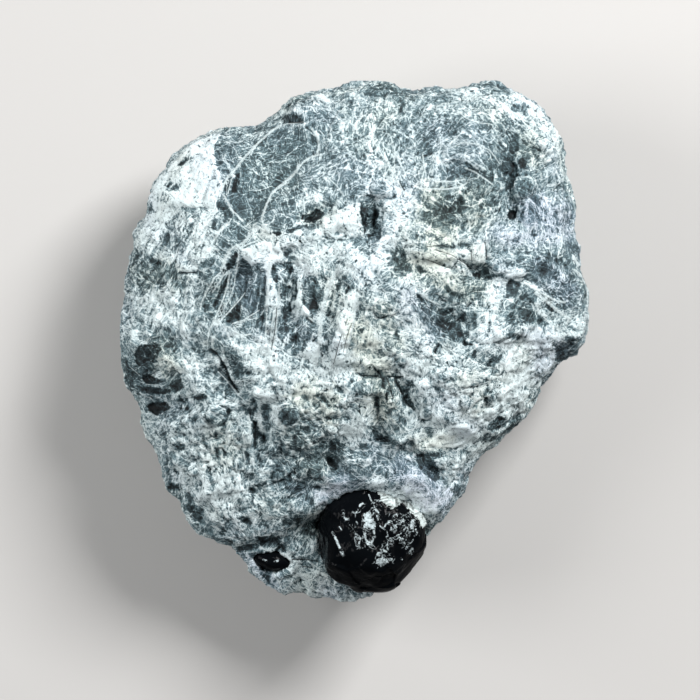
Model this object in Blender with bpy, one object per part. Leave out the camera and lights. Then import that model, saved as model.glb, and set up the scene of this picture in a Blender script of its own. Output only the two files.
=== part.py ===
"""An Apache tear in its matrix: a lump of grey perlite with a black obsidian nodule bedded near one end.

Lengths are in millimetres until a mesh is made, and Blender's metres from there on. +Z is up, +Y points
away from the nodule's end, and the origin is on the resting face, under the middle of the whole outline.
"""

import math
from collections import namedtuple

import bmesh
import bpy
import numpy as np
from mathutils import Matrix, Vector, noise

MM = 0.001

# The block as a whole
CROWN_HEIGHT = 46.0  # the resting face to the top of the crown, before the relief
WAIST_HEIGHT = 19.0  # the level at which the block is widest
BELLY_DEPTH = 24.0  # waist to the lowest point of the rounded belly, which the resting face cuts off
SHOULDER = 8.0  # height above the waist at which the crown's own relief is at its full depth
CROWN_SQUARENESS = 2.7  # 2 is an ellipsoid, and more is squarer
BELLY_SQUARENESS = 2.15
BLOCK_RADII = (46.0, 52.0, 22.0)
OUTLINE_MIDDLE = (0.55, 0.4)  # middle of the outline below, which becomes the origin

# The obsidian
TEAR_SIZE = (21.6, 21.4, 20.0)
TEAR_PLACE = (3.9, -38.8, 27.0)
BEAD_SIZE = (7.6, 4.8, 5.4)  # a second, smaller nodule that only just shows
BEAD_PLACE = (-16.1, -43.0, 21.0)
BEAD_TURN = -24.0
SEAT_GAP = 0.3  # free space between a nodule and its seat
NODULE_WAVES = 0.05  # unevenness, as a share of a nodule's radius
NODULE_ROUNDING = 0.1

# Flattened sides of a nodule. Level is how far from its middle, as a share of its radius.
Flat = namedtuple("Flat", "looks rises level")
NODULE_FLATS = (
    Flat(182, 12, 0.84),
    Flat(142, 50, 0.87),
    Flat(62, 38, 0.88),
    Flat(-38, 36, 0.86),
    Flat(-100, 28, 0.88),
    Flat(-42, 0, 0.90),
    Flat(18, -30, 0.86),
    Flat(228, -22, 0.87),
    Flat(100, -12, 0.90),
    Flat(-5, 78, 0.90),
)

# How finely the solids are made
BLOCK_SUBDIVISIONS = 7
BLOCK_KEEP = 0.086  # share of the block's triangles that the Decimate modifier keeps
TEAR_SUBDIVISIONS = 4
BEAD_SUBDIVISIONS = 3

# The outline seen from above, anticlockwise from the nodule's end
OUTLINE = (
    (3.6, -50.4), (6.6, -48.2), (9.6, -44.2), (13.0, -40.0), (16.6, -35.7), (19.2, -33.6), (21.2, -31.2),
    (22.6, -28.6), (23.6, -25.2), (27.0, -21.8), (31.0, -17.8), (34.0, -15.0), (36.4, -12.2), (37.5, -9.4),
    (38.3, -7.6), (40.0, -5.4), (42.4, -3.4), (45.0, -1.4), (46.8, 2.0), (47.4, 6.6), (47.2, 11.0),
    (46.0, 15.4), (45.4, 20.0), (44.2, 24.0), (44.2, 29.0), (42.8, 33.0), (42.2, 37.0), (41.6, 41.2),
    (39.8, 44.8), (37.0, 48.2), (34.0, 50.4), (30.6, 52.4), (27.6, 52.8), (24.4, 52.0), (21.0, 51.0),
    (12.4, 51.0), (9.6, 51.6), (7.0, 52.6), (2.0, 52.6), (-1.6, 52.2), (-5.0, 51.0), (-9.4, 50.0),
    (-12.0, 49.0), (-14.4, 46.4), (-17.2, 44.8), (-20.0, 43.4), (-24.6, 43.2), (-29.0, 42.0), (-33.0, 39.8),
    (-36.0, 37.0), (-38.8, 33.0), (-40.4, 29.4), (-41.0, 25.8), (-43.2, 22.6), (-43.8, 20.0), (-44.6, 16.0),
    (-45.6, 11.0), (-46.2, 5.4), (-46.2, -5.2), (-44.6, -8.6), (-42.6, -11.8), (-41.8, -15.8), (-40.0, -20.2),
    (-38.0, -24.4), (-37.0, -28.4), (-34.8, -31.6), (-33.0, -35.0), (-30.8, -37.2), (-27.8, -39.2),
    (-24.0, -40.8), (-21.8, -43.0), (-20.0, -46.2), (-17.2, -48.6), (-14.0, -50.2), (-10.0, -50.6),
    (-5.6, -51.4), (-0.6, -52.0),
)

# Broken faces: a point on the face, the compass angle that it looks to (0 is +X, 90 is +Y) and how far it
# looks up, in degrees. The block is pressed back to each face, and its edges stay a little rounded.
Face = namedtuple("Face", "x y z looks rises")
FACES = (
    Face(3.0, -28.0, 31.5, -94, 63),
    Face(-8.0, 36.0, 43.5, 125, 66),
    Face(-35.0, 24.0, 35.0, 155, 44),
    Face(-36.0, 4.0, 36.5, 186, 52),
    Face(-24.0, -20.0, 37.5, 222, 55),
    Face(30.0, -12.0, 35.0, -42, 38),
    Face(37.0, 12.0, 38.0, -5, 52),
    Face(35.0, 36.0, 37.0, 42, 50),
    Face(10.0, 44.0, 38.0, 92, 48),
    Face(41.0, 14.0, 8.0, 14, -28),
    Face(28.0, 40.0, 7.0, 62, -34),
    Face(-15.0, 42.0, 8.0, 108, -30),
    Face(-41.0, 12.0, 7.0, 172, -33),
    Face(-30.0, -30.0, 7.0, 226, -30),
    Face(4.0, -47.0, 6.0, 268, -34),
    Face(28.0, -20.0, 7.0, 318, -30),
)
FACE_SHARPNESS = 0.9  # share of what stands out of a face that is pressed back
FACE_ROUNDING = 1.3

# Relief of the upper side: swells and knobs where rise is above 0, hollows, pits and cracks where below
Relief = namedtuple("Relief", "x y length width turn rise")
RELIEFS = (
    # broad swells and hollows
    Relief(6.0, 20.0, 44, 22, -12, 2.4),
    Relief(-15.0, 32.0, 28, 18, 32, -1.8),
    Relief(-15.0, 5.0, 24, 17, 64, -1.8),
    Relief(2.0, 4.0, 26, 15, 78, 1.2),
    Relief(38.0, 10.0, 24, 14, 76, 1.9),
    Relief(24.0, 43.0, 20, 9, 4, 1.4),
    Relief(-37.0, 30.0, 20, 9, 60, 1.6),
    Relief(-41.0, -3.0, 13, 11, 80, 2.2),
    Relief(-29.0, -27.0, 26, 13, -62, 1.4),
    Relief(25.0, -9.0, 22, 12, 44, 1.2),
    Relief(24.5, 37.5, 15, 12, 60, 2.2),
    Relief(40.0, 38.0, 20, 7, -70, 1.6),
    Relief(2.0, -14.0, 30, 14, 0, 1.8),
    # the collar round the large nodule
    Relief(3.0, -26.5, 24, 6, -4, 2.4),
    Relief(16.5, -32.0, 18, 7, -52, 3.0),
    Relief(-8.6, -32.0, 12, 6, 70, 1.2),
    # the low shelf left of it
    Relief(-16.0, -44.0, 20, 10, -16, -1.2),
    # hollows under the ledges
    Relief(31.2, 34.8, 13, 4.4, 82, -3.6),
    Relief(22.6, 33.6, 8, 3.6, -36, -1.8),
    Relief(19.5, 5.0, 11, 6.4, -48, -2.8),
    Relief(-7.4, 25.0, 9, 4.8, 20, -2.8),
    Relief(4.2, 24.6, 10, 4.6, 84, -4.4),
    Relief(11.0, 15.6, 9, 5.0, -30, -1.6),
    Relief(10.4, -9.6, 11, 3.8, -58, -3.2),
    Relief(4.6, -6.2, 12, 3.6, -6, -2.0),
    Relief(5.4, -14.0, 11, 3.6, 88, -2.0),
    Relief(-24.6, -5.2, 14, 3.8, -54, -2.6),
    Relief(-7.4, -36.0, 9, 5.0, 36, -2.6),
    Relief(-41.6, -6.6, 10, 5.0, -20, -2.6),
    # upright blades and the troughs between them
    Relief(-24.0, 10.0, 15, 4.6, 66, -2.2),
    Relief(-19.6, 11.0, 16, 3.6, 66, 1.4),
    Relief(-15.6, 9.0, 16, 3.4, 80, 1.5),
    Relief(-12.2, 6.0, 12, 4.0, 84, -2.2),
    Relief(-10.6, 14.0, 8, 3.6, 80, -1.4),
    Relief(-8.0, 6.0, 14, 4.4, 86, 1.0),
    Relief(-4.4, 4.4, 14, 3.4, 84, -1.2),
    Relief(-1.4, 4.0, 15, 3.4, 80, 1.5),
    # knobs
    Relief(19.0, 27.0, 9, 7.0, 20, 1.8),
    Relief(25.2, 29.6, 6, 5.5, -60, 1.4),
    Relief(34.8, 30.6, 7, 5.5, 40, 1.4),
    Relief(6.0, 31.0, 6, 5.5, 0, 1.1),
    Relief(8.0, 50.0, 10, 5.0, 0, 1.2),
    Relief(-9.0, 48.0, 8, 5.0, 20, 1.2),
    Relief(-31.0, -8.5, 7, 6.0, 0, 1.4),
    Relief(-27.2, -14.4, 7, 6.0, 45, 1.8),
    Relief(-12.2, -14.4, 6, 5.4, 0, 1.6),
    Relief(-10.8, -20.0, 6, 5.0, 60, 1.4),
    Relief(-5.0, -18.4, 7, 5.0, 20, 1.4),
    Relief(-3.2, -13.0, 10, 5.6, 66, 1.2),
    Relief(-6.4, -25.6, 6, 4.6, 0, 1.2),
    Relief(5.6, 7.2, 6, 5.0, 0, 1.0),
    Relief(18.6, -7.0, 6, 5.0, 0, 1.0),
    # pits
    Relief(-38.4, -12.8, 7, 4.6, 0, -4.8),
    Relief(31.6, 25.8, 4.6, 4.4, 0, -3.6),
    Relief(25.0, 14.4, 6.0, 4.0, 0, -2.0),
    Relief(-18.6, -17.4, 10.0, 3.8, 84, -2.0),
    Relief(-3.8, -23.6, 5.0, 4.0, -50, -1.8),
    Relief(-35.4, -28.6, 6.0, 4.4, -50, -2.4),
)

# Ledges: the surface drops at the line from start to end, on the side that lies to the right of it, and
# comes back to its level within a few times reach on either side.
Ledge = namedtuple("Ledge", "start end drop reach")
LEDGES = (
    Ledge((15.5, 17.0), (34.5, 12.4), 2.8, 4.5),
    Ledge((-6.1, 37.8), (-18.0, 25.6), 1.8, 4.5),
    Ledge((-23.5, 15.8), (2.6, 24.6), 2.2, 5.5),
    Ledge((-29.5, -0.4), (-20.6, -12.0), 2.6, 5.0),
    Ledge((-20.0, -11.6), (-1.0, -8.0), 1.8, 4.5),
    Ledge((2.4, -10.0), (24.0, -18.0), 2.0, 5.0),
    Ledge((29.0, 0.8), (46.0, -1.0), 2.8, 4.0),
    Ledge((-47.0, 1.0), (-33.0, -5.6), 2.8, 4.0),
    Ledge((-25.0, -41.4), (-8.0, -34.6), 3.0, 4.0),
    Ledge((9.4, 16.0), (5.6, 36.0), 1.4, 4.0),
)
LEDGE_EDGE = 0.7  # half the width of a ledge's own step
WANDER = 1.5  # how far the landforms stray from their places
WANDER_GRAIN = 7.0

# Roughness of the whole surface
Roughness = namedtuple("Roughness", "grain depth seed")
LUMPS = Roughness(14.0, 1.5, 3.0)  # broad, for the sides and the belly
LUMPS_ON_CROWN = 0.45  # share of them that the crown keeps, because it has landforms of its own
KNOBS = Roughness(6.0, 0.75, 11.0)
RIM_STEEPNESS = 0.86  # where the surface is at least this steep, the outline is kept as it is drawn
RIM_SMOOTHING = 0.75

PERLITE = ("perlite", (0.42, 0.46, 0.46), 0.85)
OBSIDIAN = ("obsidian", (0.006, 0.007, 0.009), 0.08)


def clear_scene():
    for obj in list(bpy.data.objects):
        bpy.data.objects.remove(obj, do_unlink=True)


def new_collection(name):
    collection = bpy.data.collections.new(name)
    bpy.context.scene.collection.children.link(collection)
    return collection


def new_material(name, colour, roughness):
    material = bpy.data.materials.new(name)
    material.use_nodes = True
    shader = material.node_tree.nodes["Principled BSDF"]
    shader.inputs["Base Color"].default_value = (*colour, 1.0)
    shader.inputs["Roughness"].default_value = roughness
    shader.inputs["Metallic"].default_value = 0.0
    return material


def directions(subdivisions):
    """The corners of an icosphere as unit vectors, with the bmesh that holds them."""
    ball = bmesh.new()
    bmesh.ops.create_icosphere(ball, subdivisions=subdivisions, radius=1.0)
    corners = np.array([vertex.co for vertex in ball.verts])
    return ball, corners / np.linalg.norm(corners, axis=1)[:, None]


def object_from(name, ball, points, collection):
    """A smooth-shaded object whose corners are points, in millimetres."""
    for vertex, point in zip(ball.verts, points):
        vertex.co = Vector(point) * MM
    mesh = bpy.data.meshes.new(name)
    ball.to_mesh(mesh)
    ball.free()
    mesh.shade_smooth()
    obj = bpy.data.objects.new(name, mesh)
    collection.objects.link(obj)
    return obj


def smooth_loop(corners, steps=8):
    """Points along a closed Catmull-Rom curve through the corners."""
    here = np.array(corners)
    before, after, later = np.roll(here, 1, 0), np.roll(here, -1, 0), np.roll(here, -2, 0)
    points = []
    for step in range(steps):
        t = step / steps
        points.append(
            0.5
            * (
                2 * here
                + (after - before) * t
                + (2 * before - 5 * here + 4 * after - later) * t**2
                + (3 * here - before - 3 * after + later) * t**3
            )
        )
    return np.stack(points, axis=1).reshape(-1, 2)


def outline_reach(angles):
    """Distance from the outline's middle to the outline, at each angle."""
    loop = smooth_loop(OUTLINE) - OUTLINE_MIDDLE
    loop_angles = np.arctan2(loop[:, 1], loop[:, 0])
    order = np.argsort(loop_angles)
    reach = np.hypot(loop[:, 0], loop[:, 1])
    return np.interp(angles, loop_angles[order], reach[order], period=2 * math.pi)


def rounded_block(unit):
    """Carries the unit sphere onto a squarish cushion with the stone's outline at its waist."""
    level = np.hypot(unit[:, 0], unit[:, 1])
    squareness = np.where(unit[:, 2] > 0, CROWN_SQUARENESS, BELLY_SQUARENESS)
    stretch = (level**squareness + np.abs(unit[:, 2]) ** squareness) ** (-1 / squareness)
    angles = np.arctan2(unit[:, 1], unit[:, 0])
    reach = outline_reach(angles) * level * stretch
    tall = np.where(unit[:, 2] > 0, CROWN_HEIGHT - WAIST_HEIGHT, BELLY_DEPTH)
    return np.stack(
        (
            reach * np.cos(angles),
            reach * np.sin(angles),
            WAIST_HEIGHT + unit[:, 2] * stretch * tall,
        ),
        axis=1,
    )


def press_to_faces(points):
    for face in FACES:
        looks, rises = math.radians(face.looks), math.radians(face.rises)
        normal = np.array(
            (math.cos(rises) * math.cos(looks), math.cos(rises) * math.sin(looks), math.sin(rises))
        )
        out = (points - (face.x, face.y, face.z)) @ normal
        over = (out + np.sqrt(out**2 + FACE_ROUNDING**2)) / 2
        points = points - np.outer(over * FACE_SHARPNESS, normal)
    return points


def wander(points):
    """The points' places in plan, moved a little from side to side so that cracks and ledges wander."""
    moved = points[:, :2] + OUTLINE_MIDDLE
    for index, point in enumerate(points):
        moved[index] += np.array(noise.noise_vector(Vector(point) / WANDER_GRAIN))[:2] * WANDER
    return moved


def upper_side(points):
    """0 on the belly and 1 on the crown, changing smoothly just above the waist."""
    share = np.clip((points[:, 2] - WAIST_HEIGHT) / SHOULDER, 0, 1)
    return share * share * (3 - 2 * share)


def relief_height(places):
    """The sum of the named swells, hollows and pits at each place in plan."""
    height = np.zeros(len(places))
    for item in RELIEFS:
        turn = math.radians(item.turn)
        x, y = places[:, 0] - item.x, places[:, 1] - item.y
        along = (x * math.cos(turn) + y * math.sin(turn)) / (item.length / 2)
        across = (y * math.cos(turn) - x * math.sin(turn)) / (item.width / 2)
        height += item.rise * np.exp(-((along**2 + across**2) ** 1.3))
    return height


def ledge_height(places):
    height = np.zeros(len(places))
    for ledge in LEDGES:
        start, end = np.array(ledge.start), np.array(ledge.end)
        length = np.linalg.norm(end - start)
        ahead = (end - start) / length
        away = places - start
        along = away @ ahead
        side = away @ np.array((-ahead[1], ahead[0]))
        past_end = np.maximum(0, np.maximum(-along, along - length)) / (0.6 * ledge.reach)
        fading = np.exp(-np.abs(side) / ledge.reach - past_end**2)
        height += ledge.drop / 2 * np.tanh(side / LEDGE_EDGE) * fading
    return height


def rough_height(points, rough, kind):
    """Noise between about -depth and depth, with features of the given grain."""
    height = np.empty(len(points))
    shift = Vector((rough.seed, -rough.seed, rough.seed * 0.5))
    for index, point in enumerate(points):
        place = Vector(point) / rough.grain + shift
        if kind == "cells":  # rounded knobs with creases between them
            nearest, second = noise.voronoi(place)[0][:2]
            height[index] = min(1.0, 1.6 * (second - nearest)) - 0.55
        else:
            height[index] = noise.fractal(place, 0.9, 2.1, 3)
    return height * rough.depth


def outward(points):
    """Unit vectors that lead out of the block, square to an ellipsoid of about its size."""
    middle = np.array((0.0, 0.0, WAIST_HEIGHT))
    leading = (points - middle) / np.square(BLOCK_RADII)
    return leading / np.linalg.norm(leading, axis=1)[:, None]


def make_block(collection, material):
    """The perlite as one fine mesh, before its seats and its resting face are cut."""
    ball, unit = directions(BLOCK_SUBDIVISIONS)
    points = press_to_faces(rounded_block(unit))
    upper = upper_side(points)
    places = wander(points)
    relief = relief_height(places) + ledge_height(places)
    lumps = rough_height(points, LUMPS, "fractal") * (1 - (1 - LUMPS_ON_CROWN) * upper)
    knobs = rough_height(points, KNOBS, "cells")
    leading = outward(points)
    steep = np.hypot(leading[:, 0], leading[:, 1])
    rim = np.clip((steep - RIM_STEEPNESS) / (1 - RIM_STEEPNESS), 0, 1)
    points = points + leading * ((lumps + knobs) * (1 - RIM_SMOOTHING * rim))[:, None]
    points[:, 2] += relief * upper
    block = object_from("matrix", ball, points, collection)
    block.data.materials.append(material)
    thin_out = block.modifiers.new("thin_out", "DECIMATE")
    thin_out.ratio = BLOCK_KEEP
    return block


def nodule_points(unit, size):
    """A rounded pebble of obsidian with flattened sides and a slightly wavy surface."""
    points = unit.copy()
    for flat in NODULE_FLATS:
        looks, rises = math.radians(flat.looks), math.radians(flat.rises)
        normal = np.array(
            (math.cos(rises) * math.cos(looks), math.cos(rises) * math.sin(looks), math.sin(rises))
        )
        out = unit @ normal - flat.level
        over = (out + np.sqrt(out**2 + NODULE_ROUNDING**2)) / 2
        points = points - np.outer(over * FACE_SHARPNESS, normal)
    waves = np.array([noise.fractal(Vector(place) * 1.7, 1.0, 2.0, 2) for place in unit])
    points = points * (1 + NODULE_WAVES * waves)[:, None]
    low, high = points.min(axis=0), points.max(axis=0)
    return (points - (low + high) / 2) / (high - low) * size


def make_nodule(name, size, place, turn, subdivisions, collection, grow=0.0):
    """One nodule in place. grow is added all round, for the cutter that makes its seat."""
    ball, unit = directions(subdivisions)
    points = nodule_points(unit, size)
    points = points + unit * grow
    nodule = object_from(name, ball, points, collection)
    middle = Vector((place[0] - OUTLINE_MIDDLE[0], place[1] - OUTLINE_MIDDLE[1], place[2]))
    nodule.location = middle * MM
    nodule.rotation_euler.z = math.radians(turn)
    return nodule


def make_ground(collection):
    """The space under the resting face."""
    box = bmesh.new()
    bmesh.ops.create_cube(box, size=1.0, matrix=Matrix.Diagonal((0.2, 0.2, 0.04, 1.0)))
    mesh = bpy.data.meshes.new("ground")
    box.to_mesh(mesh)
    box.free()
    ground = bpy.data.objects.new("ground", mesh)
    ground.location.z = -0.02
    collection.objects.link(ground)
    return ground


def cut(obj, cutter):
    cutter.hide_render = True
    cutter.display_type = "WIRE"
    made = obj.modifiers.new(cutter.name, "BOOLEAN")
    made.operation = "DIFFERENCE"
    made.solver = "EXACT"
    made.object = cutter


def main():
    clear_scene()
    parts = new_collection("apache_tear_in_matrix")
    cutters = new_collection("cutters")
    perlite, obsidian = new_material(*PERLITE), new_material(*OBSIDIAN)

    block = make_block(parts, perlite)
    cut(block, make_ground(cutters))
    nodules = (
        ("apache_tear", TEAR_SIZE, TEAR_PLACE, 0.0, TEAR_SUBDIVISIONS),
        ("small_tear", BEAD_SIZE, BEAD_PLACE, BEAD_TURN, BEAD_SUBDIVISIONS),
    )
    for name, size, place, turn, subdivisions in nodules:
        nodule = make_nodule(name, size, place, turn, subdivisions, parts)
        nodule.data.materials.append(obsidian)
        seat = make_nodule(f"{name}_seat", size, place, turn, subdivisions, cutters, SEAT_GAP)
        cut(block, seat)


if __name__ == "__main__":
    main()
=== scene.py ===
"""Looks of an Apache tear in its matrix: the perlite's relief, veins and crusts, and the glassy nodules.

The frame is loaded first, and every piece is shaped from its own solid. Lengths are in millimetres in the
tables and in the shaping, and in metres where Blender takes them.
"""

import math

import bpy
import numpy as np
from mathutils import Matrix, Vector, kdtree, noise


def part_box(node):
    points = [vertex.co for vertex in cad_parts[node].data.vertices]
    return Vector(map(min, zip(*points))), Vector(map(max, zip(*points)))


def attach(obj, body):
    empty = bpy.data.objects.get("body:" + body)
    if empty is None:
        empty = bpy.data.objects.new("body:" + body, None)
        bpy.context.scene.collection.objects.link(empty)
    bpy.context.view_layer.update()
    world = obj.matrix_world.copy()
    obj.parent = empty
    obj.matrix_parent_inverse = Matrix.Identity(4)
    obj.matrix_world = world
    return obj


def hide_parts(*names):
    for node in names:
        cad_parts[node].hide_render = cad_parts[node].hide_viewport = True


bl_info = {
    "name": "Apache Tear in Matrix",
    "version": (1, 0, 0),
    "blender": (4, 5, 0),
    "location": "3D View > Sidebar > Apache Tear",
    "description": "Dresses a lump of perlite and its obsidian nodules",
    "category": "Object",
}

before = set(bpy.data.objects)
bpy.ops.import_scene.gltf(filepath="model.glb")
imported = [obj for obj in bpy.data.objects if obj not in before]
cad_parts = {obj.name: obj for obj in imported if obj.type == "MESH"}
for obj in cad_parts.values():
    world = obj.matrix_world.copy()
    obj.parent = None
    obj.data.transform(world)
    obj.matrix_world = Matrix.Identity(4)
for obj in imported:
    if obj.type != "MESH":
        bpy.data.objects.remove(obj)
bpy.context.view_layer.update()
MM = 0.001

# The plan that the marks below are laid out on has its zero at this place in the frame
PLAN_ZERO = (-0.55, -0.4)

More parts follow.
